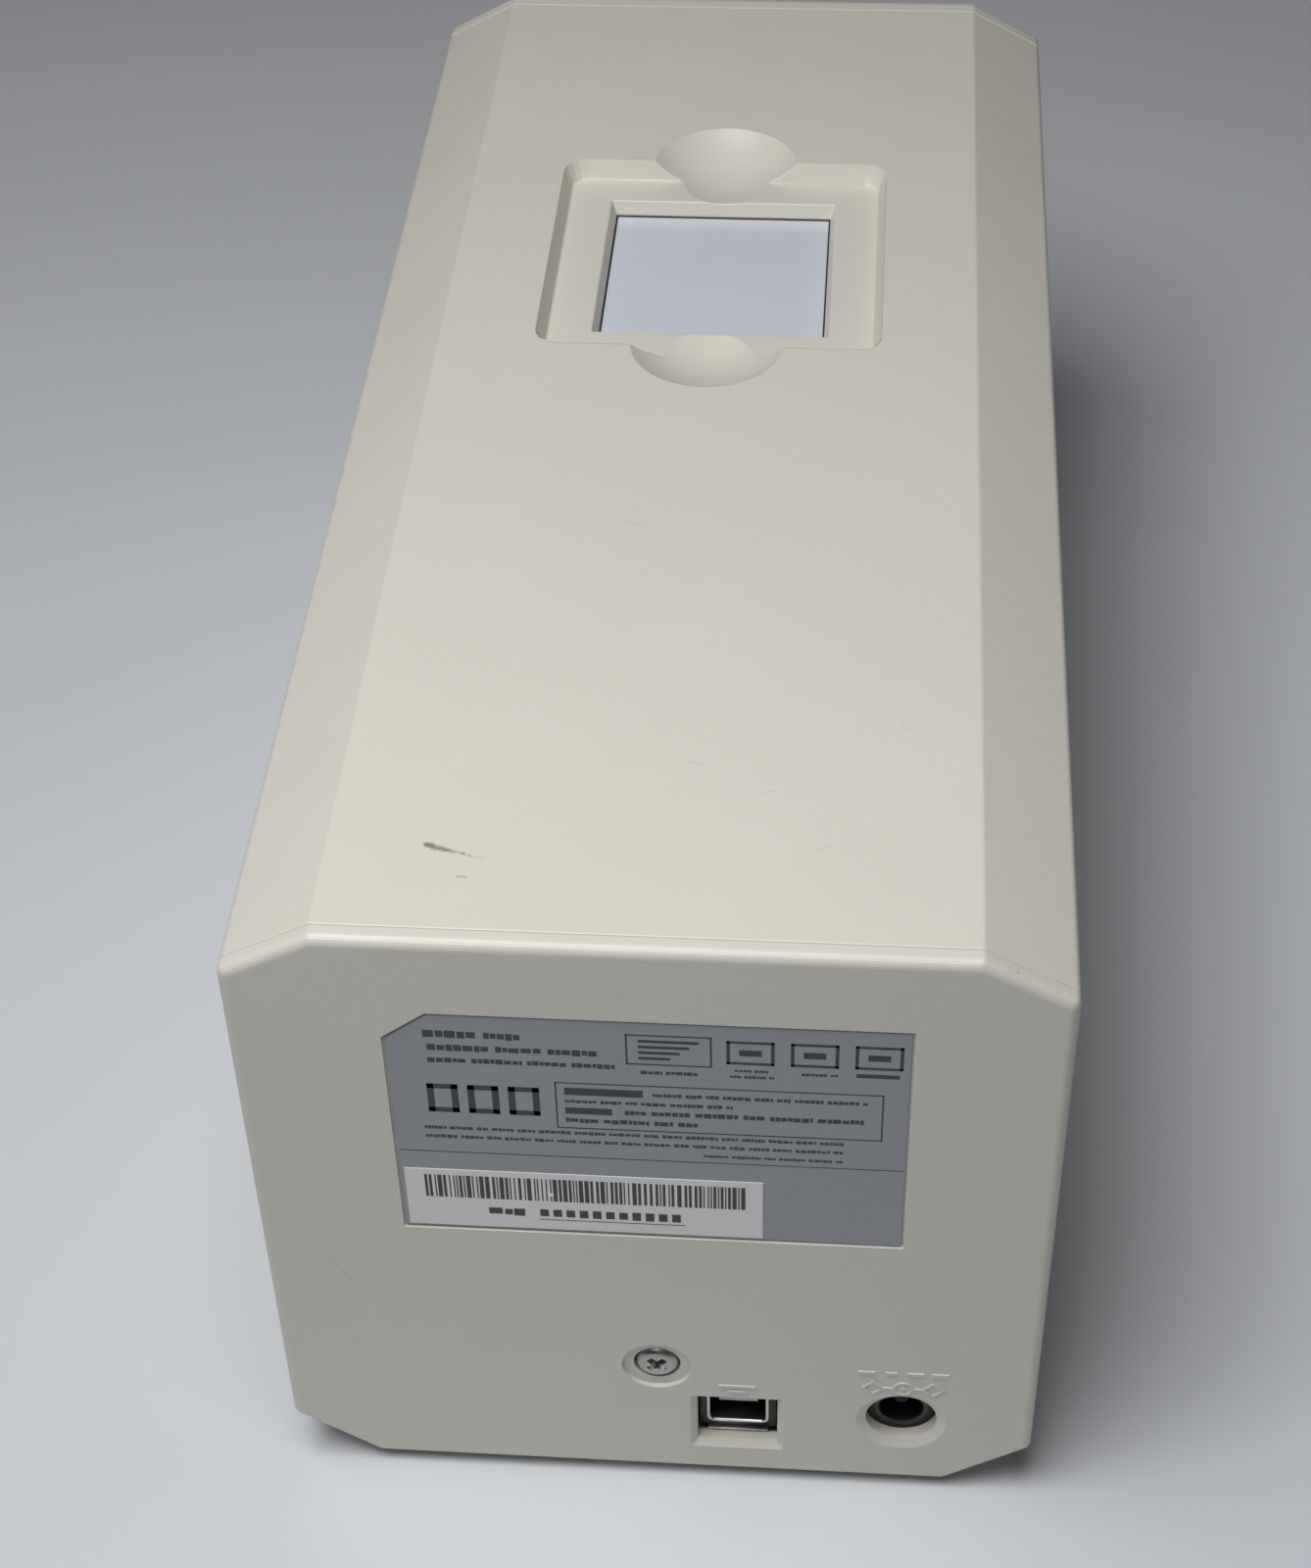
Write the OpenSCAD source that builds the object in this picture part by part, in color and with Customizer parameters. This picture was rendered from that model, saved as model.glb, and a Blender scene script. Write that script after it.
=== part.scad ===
// 35 mm film scanner with a feed-through holder slot, a lit slide viewer on top and moving optics inside.
// Front faces -Y, the connector panel faces +Y, and the feet rest on z = 0.

/* [Case] */
// Width across the flat sides
body_w = 106; // [104:1:112]
// Height of the case above its feet
body_h = 108; // [106:1:114]
// Length from the front face to the rear face
body_l = 238; // [236:1:246]
// Sideways run of the four long chamfers
chamfer_w = 12; // [10:0.5:13]
// Drop of the two upper chamfers
chamfer_top = 6.6; // [5:0.2:9]
// Rise of the two lower chamfers
chamfer_low = 8.6; // [6:0.2:9]
// Wall thickness of the shells
wall = 2.4; // [2:0.1:2.8]
// Height of the rubber feet
foot_h = 2; // [1.5:0.5:3]
// Visible depth of the rear panel's rim
rear_rim = 2.5; // [2.4:0.1:3]
// Edge radius of the rear panel
rear_edge_r = 1.4; // [0.8:0.1:1.8]
// Visible depth of the front bezel's rim
front_rim = 5; // [4.5:0.5:6]
// Edge radius of the front bezel
front_edge_r = 3; // [2:0.5:4]

/* [Slide viewer] */
// Distance of the viewer's centre from the rear face
viewer_from_rear = 154; // [152:1:156]
// Rim of the slide recess, square
recess_rim = 53; // [52.5:0.5:54]
// Floor of the slide recess, square, for a 50 mm slide mount
recess_floor = 50.5; // [50.2:0.1:51]
// Depth of the slide recess
recess_d = 3; // [2.5:0.5:3]
// Window width across the case
window_w = 36.8; // [36:0.2:38]
// Window length along the case
window_l = 38; // [36:0.5:39]
// Radius of the round rim of each finger scoop
scoop_r = 11.8; // [10:0.2:13]
// Radius of each finger scoop at the depth of the recess floor
scoop_floor_r = 7; // [6:0.2:8]
// How far inside the recess rim the centre of each finger scoop is
scoop_inset = 1; // [0:0.1:3]

/* [Rear panel] */
// Label width
label_w = 66; // [60:1:70]
// Label height
label_h = 41.8; // [38:0.2:43]
// Side offset of the square data socket
usb_x = -11.2; // [-12:0.1:-10]
// Side offset of the round power socket
dc_x = -34.4; // [-35:0.1:-34]
// Radius of the power socket's opening in the panel
dc_hole_r = 5; // [4.8:0.1:5.4]

/* [Film path] */
// Height of the film plane above the table
film_z = 60; // [60:1:61]
// Length of the holder slot along the case
slot_l = 66; // [64:1:66]
// Height of the holder slot
slot_h = 9; // [8.6:0.2:9.4]

/* [Scan drive] */
// Travel of the optics sled
sled_travel = 26; // [24:1:26]
// Radius of the two guide rods
rod_r = 2.5; // [2:0.1:2.5]
// Radius of the lead screw
screw_r = 3; // [2.6:0.1:3]
// Gear module
gear_m = 0.7; // [0.7:0.1:0.7]
// Teeth on the lead screw's gear
gear_teeth = 30; // [30:1:30]
// Teeth on the motor's pinion
pinion_teeth = 14; // [14:1:14]

/* [Hidden] */
$fn = 48;

// Main planes
y_rear = body_l / 2;
y_front = -body_l / 2;
x_side = body_w / 2;
z_low = foot_h;
z_top = foot_h + body_h;
seam = 0.15;                        // half of the gap at each parting line
ridge_r = 1.2;                      // radius along the eight long ridges
arc_steps = 4;
shell_y0 = y_front + front_rim + seam;
shell_y1 = y_rear - rear_rim - seam;
view_y = y_rear - viewer_from_rear; // centre of the viewer, the film gate and the lamp
fit = 0.1;                          // clearance around a fitted part
bite = 0.5;                         // how far a cutter runs past a face

// Rear panel heights
label_z = 55.4;
label_cut = [5.8, 4.7];
label_t = 0.3;
label_recess = 0.5;
mark_h = 0.2;
port_depth = 2.5;
usb_z = z_low + 11.75;
dc_z = z_low + 14;
rear_screw_z = z_low + 24.4;
usb_mouth = [11.4, 10.4];
usb_rim = [13.2, 12.2];
usb_size = [12, 11, 16];
usb_hole = [8.45, 7.78];
usb_hole_z = usb_z + 1.1;
usb_cut = 1.6;
jack_r = 3.15;
jack_pin_r = 1.05;
board_top = 8.2;
board_t = 1.6;

// Film path
guide_x = 42.5;
guide_t = 2;
rail_t = 3;
channel_h = 8;
channel_l = 64;
guide_z0 = film_z - channel_h / 2 - guide_t;
pivot_x = x_side - 2.5;
pivot_z = film_z + slot_h / 2 - 1.3;
pin_r = 0.6;

// Chassis and drive
tray_x = 40;
tray_z = 21;
tray_t = 2;
wall_y = 101;                       // inner face of both chassis end walls
wall_t = 3;
rod_x = 18.5;
rod_z = 29;
screw_x = -27;
screw_z = 34;
gear_y = wall_y + wall_t + 1;
gear_w = 5;
gear_gap = gear_m * (gear_teeth + pinion_teeth) / 2;
journal_r = 2;
optic_z = 42;
mirror_y = view_y + sled_travel / 2;
mirror_size = [41, 24, 2];
lens_r = 8;
sled_x = 23;
sled_y0 = mirror_y - 15;
sled_y1 = mirror_y + 72;
sled_top = 51;
lens_y = mirror_y + 26;
ccd_y = mirror_y + 64;
nut_y = mirror_y + 20;
case_posts = [[37, 60], [-37, 60], [37, -90], [-37, -90]];
chassis_posts = [[30, 95], [-30, 95], [30, -95], [-30, -95]];
board_posts = [[20, 26], [-20, 26], [20, 108], [-23, 108]];

// Front controls
scan_z = 78;
power_z = 47;
led_z = 61;
button_travel = 0.8;
plate_size = [38, 62];
plate_z = 62;
plate_t = 1.2;
control_y = y_front + 11.4;         // front face of the control board

// ---------- helpers ----------

function unit(v) = v / norm(v);
function left_normal(a, b) = let (d = unit(b - a)) [-d[1], d[0]];

// Moves the corner b of a counterclockwise outline inwards by d.
function inset_corner(a, b, c, d) =
  let (n1 = left_normal(a, b), n2 = left_normal(b, c)) b + d * (n1 + n2) / (1 + n1 * n2);

function inset(p, d) =
  let (n = len(p)) [for (i = [0:n - 1]) inset_corner(p[(i + n - 1) % n], p[i], p[(i + 1) % n], d)];

// Rounds every corner of a convex counterclockwise outline.
function rounded(p, r, steps = arc_steps) =
  let (n = len(p)) [
    for (i = [0:n - 1])
      let (
        a = p[(i + n - 1) % n], b = p[i], c = p[(i + 1) % n],
        n1 = left_normal(a, b), n2 = left_normal(b, c),
        m = inset_corner(a, b, c, r),
        from = atan2(-n1[1], -n1[0]),
        turn = acos(max(-1, min(1, n1 * n2)))
      )
      for (k = [0:steps]) let (t = from + turn * k / steps) m + r * [cos(t), sin(t)]
  ];

function rect(w, h, at = [0, 0]) =
  [at + [-w / 2, -h / 2], at + [w / 2, -h / 2], at + [w / 2, h / 2], at + [-w / 2, h / 2]];

function case_outline(d = 0) = inset([
  [x_side - chamfer_w, z_low], [x_side, z_low + chamfer_low],
  [x_side, z_top - chamfer_top], [x_side - chamfer_w, z_top],
  [chamfer_w - x_side, z_top], [-x_side, z_top - chamfer_top],
  [-x_side, z_low + chamfer_low], [chamfer_w - x_side, z_low]
], d);

// A ribbon of thickness t along the points p.
function ribbon(p, t) =
  let (
    n = len(p),
    normals = [for (i = [0:n - 1]) left_normal(p[max(0, i - 1)], p[min(n - 1, i + 1)])]
  )
  concat(
    [for (i = [0:n - 1]) p[i] - normals[i] * t / 2],
    [for (i = [n - 1:-1:0]) p[i] + normals[i] * t / 2]
  );

function arc(centre, r, from, to, steps = 8) =
  [for (k = [0:steps]) let (t = from + (to - from) * k / steps) centre + r * [cos(t), sin(t)]];

module block(low, high) translate(low) cube(high - low);
module along_y(y0, y1) translate([0, y1, 0]) rotate([90, 0, 0]) linear_extrude(y1 - y0) children();
module along_x(x0, x1) translate([x0, 0, 0]) rotate([90, 0, 90]) linear_extrude(x1 - x0) children();
module rod_x_at(p, r, l) translate(p) rotate([0, 90, 0]) cylinder(r = r, h = l);
module rod_y_at(p, r, l) translate(p) rotate([-90, 0, 0]) cylinder(r = r, h = l);
module post(p, z0, z1, r) translate([p[0], p[1], z0]) cylinder(r = r, h = z1 - z0);
module both_sides() { children(); mirror([1, 0, 0]) children(); }
module panel(p, r, z0, z1) translate([0, 0, z0]) linear_extrude(z1 - z0) polygon(rounded(p, r));

// A screw whose head is at p and whose shank runs down by l, with a cross recess.
module screw_down(p, head_r, head_h, shank_r, l) {
  slot_w = head_r * 0.28;
  translate(p) difference() {
    union() {
      cylinder(r = head_r, h = head_h);
      translate([0, 0, -l]) cylinder(r = shank_r, h = l);
    }
    for (a = [0, 90]) rotate([0, 0, a])
      translate([-head_r * 0.55, -slot_w / 2, head_h * 0.4]) cube([head_r * 1.1, slot_w, head_h]);
  }
}

// An involute spur gear outline, with backlash taken from each flank.
function involute(base_r, t) = base_r * [cos(t) + t * PI / 180 * sin(t), sin(t) - t * PI / 180 * cos(t)];
function roll_at(base_r, r) = sqrt(max(0, pow(r / base_r, 2) - 1)) * 180 / PI;
function gear_outline(m, teeth, add = 0.85, ded = 1.3, backlash = 0.16) =
  let (
    pitch_r = m * teeth / 2, base_r = pitch_r * cos(20), tip_r = pitch_r + m * add,
    root_r = pitch_r - m * ded, low_r = max(base_r, root_r),
    roll_p = roll_at(base_r, pitch_r), roll_t = roll_at(base_r, tip_r), roll_l = roll_at(base_r, low_r),
    on_pitch = involute(base_r, roll_p),
    half = 90 / teeth - backlash / pitch_r * 90 / PI + atan2(on_pitch[1], on_pitch[0]),
    steps = 4
  ) [
    for (i = [0:teeth - 1]) let (c = 360 / teeth * i) each concat(
      [root_r * [cos(c - half - 0.5), sin(c - half - 0.5)]],
      [for (k = [0:steps]) let (q = involute(base_r, roll_l + (roll_t - roll_l) * k / steps),
        t = c - half + atan2(q[1], q[0])) norm(q) * [cos(t), sin(t)]],
      [for (k = [steps:-1:0]) let (q = involute(base_r, roll_l + (roll_t - roll_l) * k / steps),
        t = c + half - atan2(q[1], q[0])) norm(q) * [cos(t), sin(t)]],
      [root_r * [cos(c + half + 0.5), sin(c + half + 0.5)]]
    )
  ];

// ---------- case ----------

module shell_tube() {
  difference() {
    along_y(shell_y0, shell_y1) polygon(rounded(case_outline(), ridge_r));
    along_y(shell_y0 - bite, shell_y1 + bite) polygon(case_outline(wall));
  }
}

// The window through both shells that each slot frame fills.
module slot_notch() {
  along_x(x_side - wall - bite, x_side + bite)
    polygon(rounded(rect(76.3, 18.3, [view_y, film_z]), 2.2));
}

module top_shell() {
  lens_h = (pow(scoop_r, 2) - pow(scoop_floor_r, 2) - pow(recess_d, 2)) / (2 * recess_d);
  pocket_z = z_top - recess_d - 2.5;
  color("#d8d5cb") difference() {
    union() {
      intersection() {
        shell_tube();
        block([-x_side - 1, y_front, film_z + seam], [x_side + 1, y_rear, z_top + 1]);
      }
      block([-30, view_y - 41, z_top - 9], [30, view_y + 41, z_top - wall + 0.2]);
      for (p = case_posts) post(p, film_z + seam, z_top - wall + 0.2, 3.8);
    }
    // slide recess with sloping sides
    hull() {
      panel(rect(recess_rim, recess_rim, [0, view_y]), 3.4, z_top - 0.01, z_top + 0.01);
      panel(rect(recess_floor, recess_floor, [0, view_y]), 2.2, z_top - recess_d, z_top - recess_d + 0.01);
    }
    panel(rect(recess_rim, recess_rim, [0, view_y]), 3.4, z_top, z_top + 1);
    // window with bevelled sides, and the pocket that holds its pane
    hull() {
      panel(rect(window_w, window_l, [0, view_y]), 0.4, z_top - recess_d, z_top - recess_d + 0.01);
      panel(rect(window_w - 1.6, window_l - 1.6, [0, view_y]), 0.4, pocket_z + 0.4, pocket_z + 0.41);
    }
    panel(rect(window_w - 1.6, window_l - 1.6, [0, view_y]), 0.4, pocket_z - 1, pocket_z + 0.41);
    block([-21, view_y - 21.5, z_top - 10], [21, view_y + 21.5, pocket_z]);
    // finger scoops, each a shallow bowl
    for (s = [-1, 1]) translate([0, view_y + s * (recess_rim / 2 - scoop_inset), z_top + lens_h])
      sphere(r = norm([lens_h, scoop_r]), $fn = 96);
    slot_notch();
    mirror([1, 0, 0]) slot_notch();
    for (p = case_posts) post(p, film_z - 1, film_z + 18, 1.5);
    for (p = retainer_screws()) post(p, z_top - 10, z_top - 6, 1);
  }
}

module base_shell() {
  lip_z = film_z - 8;
  color("#d3d0c6") difference() {
    union() {
      intersection() {
        shell_tube();
        block([-x_side - 1, y_front, z_low - 1], [x_side + 1, y_rear, film_z - seam]);
      }
      both_sides() {
        block([x_side - wall - 1.2, shell_y0 + 6, lip_z], [x_side - wall + 0.2, shell_y1 - 6, film_z - seam]);
        block([x_side - wall - 1.2, shell_y0 + 6, lip_z], [x_side - wall - fit, shell_y1 - 6, film_z + 2]);
      }
      for (p = case_posts) post(p, z_low + 0.5, film_z - seam, 4.2);
      for (p = chassis_posts) post(p, z_low + wall - 0.5, tray_z, 3.5);
      for (p = board_posts) post(p, z_low + wall - 0.5, board_top - board_t, 2.8);
    }
    slot_notch();
    mirror([1, 0, 0]) slot_notch();
    both_sides() block(
      [x_side - wall - 2, view_y - 41, film_z - 12],
      [x_side - wall, view_y + 41, film_z + 12]
    );
    for (p = case_posts) {
      post(p, z_low - 1, film_z - 14, 3.2);
      post(p, film_z - 15, film_z + 1, 1.6);
    }
    for (p = chassis_posts) post(p, tray_z - 12, tray_z + 1, 1.5);
    for (p = board_posts) post(p, z_low + 0.9, board_top, 1.1);
    for (p = foot_places()) post(p, z_low - 1, z_low + 0.6, 6.1);
    // cooling slots under the boards
    for (i = [-4:4]) block([i * 5 - 0.9, -22, z_low - 1], [i * 5 + 0.9, 6, z_low + wall + 0.1]);
  }
}

// A solid plate with the case's outline and one rounded edge; s is -1 at the front and 1 at the rear.
module end_plate(s, depth, edge_r) {
  face_y = s * body_l / 2;
  back_y = face_y - s * depth;
  thin = 0.01;
  hull() {
    along_y(s > 0 ? back_y : back_y - thin, s > 0 ? back_y + thin : back_y)
      polygon(rounded(case_outline(), ridge_r));
    for (a = [0:15:90]) {
      y = face_y - s * (edge_r * (1 - sin(a)));
      along_y(s > 0 ? y - thin : y, s > 0 ? y : y + thin)
        polygon(rounded(case_outline(edge_r * (1 - cos(a))), ridge_r));
    }
  }
}

// The ring behind an end plate that registers inside the shells.
module end_lip(y0, y1) {
  difference() {
    along_y(y0, y1) polygon(case_outline(wall + 0.2));
    along_y(y0 - bite, y1 + bite) polygon(case_outline(wall + 1.8));
    both_sides() block([x_side - 8, y0 - 1, film_z - 10], [x_side, y1 + 1, film_z + 4]);
  }
}

function label_outline(grow = 0) =
  let (w = label_w / 2 + grow, z0 = label_z - grow, z1 = label_z + label_h + grow, c = label_cut) [
    [-w, z0], [w, z0], [w, z1 - c[1]], [w - c[0], z1], [-w, z1]
  ];

// A mark moulded proud of the rear face.
module mark(at, w, h) along_y(y_rear - 0.1, y_rear + mark_h) polygon(rect(w, h, at));

module diamond_mark(at, r, line) {
  along_y(y_rear - 0.1, y_rear + mark_h) difference() {
    polygon([for (a = [0:90:270]) at + r * [cos(a), sin(a)]]);
    polygon([for (a = [0:90:270]) at + (r - line) * [cos(a), sin(a)]]);
  }
}

// Plain bars over the two sockets, and a ring and two diamonds that show the plug's polarity.
module raised_marks() {
  z = z_low + 22;
  mark([usb_x, z_low + 20.6], 5.2, 0.6);
  mark([usb_x, z_low + 19.4], 2.8, 0.6);
  for (dx = [-4.2, 4.2]) diamond_mark([dc_x + dx, z], 1.6, 0.45);
  for (dx = [-2.1, 2.1]) mark([dc_x + dx, z], 1.4, 0.4);
  difference() {
    rod_y_at([dc_x, y_rear - 0.1, z], 1.5, mark_h + 0.1);
    rod_y_at([dc_x, y_rear - 0.2, z], 1.05, mark_h + 0.4);
  }
  rod_y_at([dc_x, y_rear - 0.1, z], 0.45, mark_h + 0.1);
  for (i = [0:3]) mark([dc_x - 5.1 + i * 3.4, z_low + 25.4], i == 2 ? 1.6 : 2.4, 0.7);
}

module rear_panel() {
  y_in = y_rear - rear_rim;
  color("#cfccc3") difference() {
    union() {
      end_plate(1, rear_rim, rear_edge_r);
      end_lip(y_in - 3, y_in + 0.2);
      rod_y_at([0, y_in - 1.5, rear_screw_z], 5.5, 2);
      raised_marks();
    }
    along_y(y_rear - label_recess, y_rear + bite) polygon(label_outline(0.25));
    // square socket opening, with a bevelled mouth
    along_y(y_rear - port_depth - bite, y_rear - 0.5)
      polygon(rect(usb_mouth[0], usb_mouth[1], [usb_x, usb_z]));
    hull() {
      along_y(y_rear, y_rear + 0.01)
        polygon(rounded(rect(usb_rim[0], usb_rim[1], [usb_x, usb_z]), 0.6));
      along_y(y_rear - 0.9, y_rear - 0.89)
        polygon(rounded(rect(usb_mouth[0], usb_mouth[1], [usb_x, usb_z]), 0.3));
    }
    // round socket opening
    rod_y_at([dc_x, y_rear - port_depth - bite, dc_z], dc_hole_r, port_depth + 1);
    translate([dc_x, y_rear - 0.8, dc_z]) rotate([-90, 0, 0])
      cylinder(r1 = dc_hole_r, r2 = dc_hole_r + 1.4, h = 0.82);
    // screw pocket in two steps
    rod_y_at([0, y_rear - 0.7, rear_screw_z], 4.9, 1.2);
    rod_y_at([0, y_rear - 2.2, rear_screw_z], 3.3, 3);
    rod_y_at([0, y_rear - 6, rear_screw_z], 1.6, 6);
  }
}

module front_bezel() {
  y_in = y_front + front_rim;
  color("#d6d3c9") difference() {
    union() {
      difference() {
        end_plate(-1, front_rim, front_edge_r);
        along_y(y_front + 2.6, y_in + bite) polygon(case_outline(wall + 1.8));
      }
      end_lip(y_in - 0.2, y_in + 3);
      for (x = [-15, 15], z = [36, 88]) rod_y_at([x, y_front + 2.4, z], 3, control_y - y_front - 2.4);
      rod_y_at([0, y_front + 2.4, scan_z], 12, 2);
      rod_y_at([0, y_front + 2.4, power_z], 8.6, 2);
    }
    along_y(y_front - bite, y_front + plate_t + 0.1)
      polygon(rounded(rect(plate_size[0] + 0.4, plate_size[1] + 0.4, [0, plate_z]), 6.2));
    rod_y_at([0, y_front - 1, scan_z], 9.6, 8);
    rod_y_at([0, y_front - 1, power_z], 6.6, 8);
    for (x = [-7, 7]) rod_y_at([x, y_front - 1, led_z], 1.6, 8);
    for (x = [-15, 15], z = [36, 88]) rod_y_at([x, control_y - 6, z], 1, 7);
  }
}

module control_plate() {
  color("#4c4f55") difference() {
    along_y(y_front - mark_h, y_front + plate_t)
      polygon(rounded(rect(plate_size[0], plate_size[1], [0, plate_z]), 6));
    rod_y_at([0, y_front - 1, scan_z], 9.3, 8);
    rod_y_at([0, y_front - 1, power_z], 6.3, 8);
    for (x = [-7, 7]) rod_y_at([x, y_front - 1, led_z], 1.6, 8);
  }
}

module viewer_window() {
  top = z_top - recess_d - 2.5;
  color("#c3cad6") block([-20.8, view_y - 21.3, top - 2], [20.8, view_y + 21.3, top]);
}

function retainer_screws() = [for (x = [-25.5, 25.5], y = [-25.5, 25.5]) [x, view_y + y]];

module viewer_retainer() {
  low = z_top - 11.2;
  color("#3c3d40") difference() {
    union() {
      block([-29, view_y - 29, low], [29, view_y + 29, z_top - 9]);
      block([-20.8, view_y - 21.3, z_top - 9.1], [20.8, view_y + 21.3, z_top - 7.5]);
    }
    block([-18.5, view_y - 19, low - 1], [18.5, view_y + 19, z_top]);
    for (p = retainer_screws()) post(p, low - 1, z_top, 1.2);
  }
}

module rating_label() {
  color("#8f949c") along_y(y_rear - label_recess, y_rear - label_recess + label_t)
    polygon(label_outline());
}

module serial_sticker() {
  color("#c9c9cb") along_y(y_rear - label_recess + label_t, y_rear - label_recess + label_t + 0.12)
    polygon([[-14.7, 55.9], [32.4, 55.9], [32.4, 67.4], [-14.7, 67.4]]);
}

module rear_screw() {
  color("#c9c7c0") translate([0, y_rear - 2.15, rear_screw_z]) rotate([-90, 0, 0])
    screw_down([0, 0, 0], 3.05, 1.9, 1.45, 9);
}

module case_screws() {
  color("#9a9a96") for (p = case_posts)
    translate([p[0], p[1], film_z - 14]) mirror([0, 0, 1]) screw_down([0, 0, 0], 2.8, 1.8, 1.4, 24);
}

function foot_places() = [for (x = [-30, 30], y = [-104, 104]) [x, y]];

module rubber_feet() {
  color("#3a3a3a") for (p = foot_places()) union() {
    post(p, 0.5, z_low + 0.55, 6);
    translate([p[0], p[1], 0]) cylinder(r1 = 5.5, r2 = 6, h = 0.5);
  }
}

// ---------- sockets ----------

// The square plug's outline, with its two cut corners at the top.
function usb_outline() =
  let (w = usb_hole[0] / 2, z0 = usb_hole_z - usb_hole[1] / 2, z1 = usb_hole_z + usb_hole[1] / 2) [
    [usb_x - w, z0], [usb_x + w, z0],
    [usb_x + w, z1 - usb_cut], [usb_x + w - usb_cut, z1],
    [usb_x - w + usb_cut, z1], [usb_x - w, z1 - usb_cut]
  ];

module usb_shell() {
  y1 = y_rear - port_depth;
  half = usb_size[0] / 2;
  color("#c8c6bd") difference() {
    block([usb_x - half, y1 - usb_size[2], board_top], [usb_x + half, y1, board_top + usb_size[1]]);
    along_y(y1 - 11, y1 + 1) polygon(usb_outline());
  }
}

module usb_tongue() {
  y1 = y_rear - port_depth;
  middle = usb_hole_z + 0.35;
  color("#e8e6df") union() {
    block([usb_x - 2.8, y1 - 11, middle - 1.25], [usb_x + 2.8, y1 - 1.2, middle + 1.25]);
    for (x = [usb_x - 1.25, usb_x + 1.25], z = [middle - 1.25, middle + 1.25])
      block([x - 0.5, y1 - 11, z - 0.1], [x + 0.5, y1 - 2, z + 0.1]);
  }
}

module dc_jack() {
  y1 = y_rear - port_depth;
  color("#1c1c1e") difference() {
    union() {
      block([dc_x - 4.6, y1 - 14, board_top], [dc_x + 4.6, y1, dc_z + 2]);
      rod_y_at([dc_x, y1 - 14, dc_z], 4.6, 14);
    }
    rod_y_at([dc_x, y1 - 10, dc_z], jack_r, 11);
    rod_y_at([dc_x, y1 - 13, dc_z], 0.65, 4);
  }
}

module dc_center_pin() {
  y1 = y_rear - port_depth;
  color("#d0cec6") union() {
    rod_y_at([dc_x, y1 - 12.8, dc_z], 0.6, 3);
    rod_y_at([dc_x, y1 - 9.9, dc_z], jack_pin_r, 8.4);
  }
}

// ---------- front controls ----------

// A round button with a retaining flange behind the bezel and a stem towards its switch.
module round_button(z, r) {
  flange_y = y_front + 4.8;
  stem_end = control_y - 4.3 - button_travel - 0.1;
  union() {
    rod_y_at([0, y_front + 0.7, z], r, 4);
    translate([0, y_front + 0.1, z]) rotate([-90, 0, 0]) cylinder(r1 = r - 0.6, r2 = r, h = 0.6);
    rod_y_at([0, flange_y, z], r + 1.5, 0.9);
    rod_y_at([0, flange_y, z], 2, stem_end - flange_y);
  }
}

module power_button() { color("#b9bcc0") round_button(power_z, 6); }
module scan_button() { color("#9fb4c4") round_button(scan_z, 9); }

module light_pipes() {
  color("#dfe6ea") for (x = [-7, 7]) union() {
    rod_y_at([x, y_front + 0.2, led_z], 1.5, 9);
    rod_y_at([x, y_front + 4.6, led_z], 2.3, 4);
  }
}

module control_board() {
  color("#2f6b45") difference() {
    along_y(control_y, control_y + board_t) polygon(rounded(rect(38, 60, [0, plate_z]), 1.5));
    for (x = [-15, 15], z = [36, 88]) rod_y_at([x, control_y - 1, z], 1.2, 4);
  }
}

// Two click switches behind the buttons, and two lamps behind the light pipes.
module control_parts() {
  color("#2a2a2c") {
    for (z = [scan_z, power_z]) union() {
      block([-3, control_y - 3.5, z - 3], [3, control_y, z + 3]);
      rod_y_at([0, control_y - 4.2, z], 1.75, 1);
    }
    for (x = [-7, 7]) block([x - 1.6, control_y - 1.4, led_z - 1], [x + 1.6, control_y, led_z + 1]);
  }
}

// ---------- holder slot ----------

module slot_frame() {
  color("#55575c") difference() {
    union() {
      along_x(x_side - 5, x_side - 0.1) polygon(rounded(rect(76, 18, [view_y, film_z]), 2));
      along_x(x_side - 5, x_side - wall - 0.2) polygon(rounded(rect(80, 22, [view_y, film_z]), 2));
    }
    along_x(x_side - 6, x_side) polygon(rounded(rect(slot_l, slot_h, [view_y, film_z]), 0.8));
    hull() {
      along_x(x_side - 0.1, x_side)
        polygon(rounded(rect(slot_l + 2.4, slot_h + 2.4, [view_y, film_z]), 1.6));
      along_x(x_side - 1.2, x_side - 1.19) polygon(rounded(rect(slot_l, slot_h, [view_y, film_z]), 0.8));
    }
    rod_y_at([pivot_x, view_y - 35.5, pivot_z], pin_r + 0.02, 71);
  }
}

module slot_flap() {
  half = slot_l / 2 - 0.5;
  color("#3f4145") difference() {
    union() {
      block(
        [pivot_x - 0.6, view_y - half, film_z - slot_h / 2 + 0.4],
        [pivot_x + 0.6, view_y + half, pivot_z]
      );
      rod_y_at([pivot_x, view_y - half, pivot_z], 1.1, 2 * half);
    }
    rod_y_at([pivot_x, view_y - half - 1, pivot_z], pin_r + 0.05, 2 * half + 2);
    block([pivot_x - 2, view_y - 4, pivot_z - 2], [pivot_x + 2, view_y + 4, pivot_z + 2]);
  }
}

module flap_pins() {
  color("#b5b5b0") both_sides() rod_y_at([pivot_x, view_y - 35, pivot_z], pin_r, 70);
}

// A small closing spring on each hinge pin: a close-wound coil drawn as rings.
module flap_springs() {
  color("#9c9c98") both_sides() for (i = [-3:3]) translate([pivot_x, view_y + i * 0.9, pivot_z])
    rotate([90, 0, 0]) rotate_extrude($fn = 24) translate([pin_r + 0.3, 0]) circle(r = 0.2, $fn = 13);
}

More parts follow.
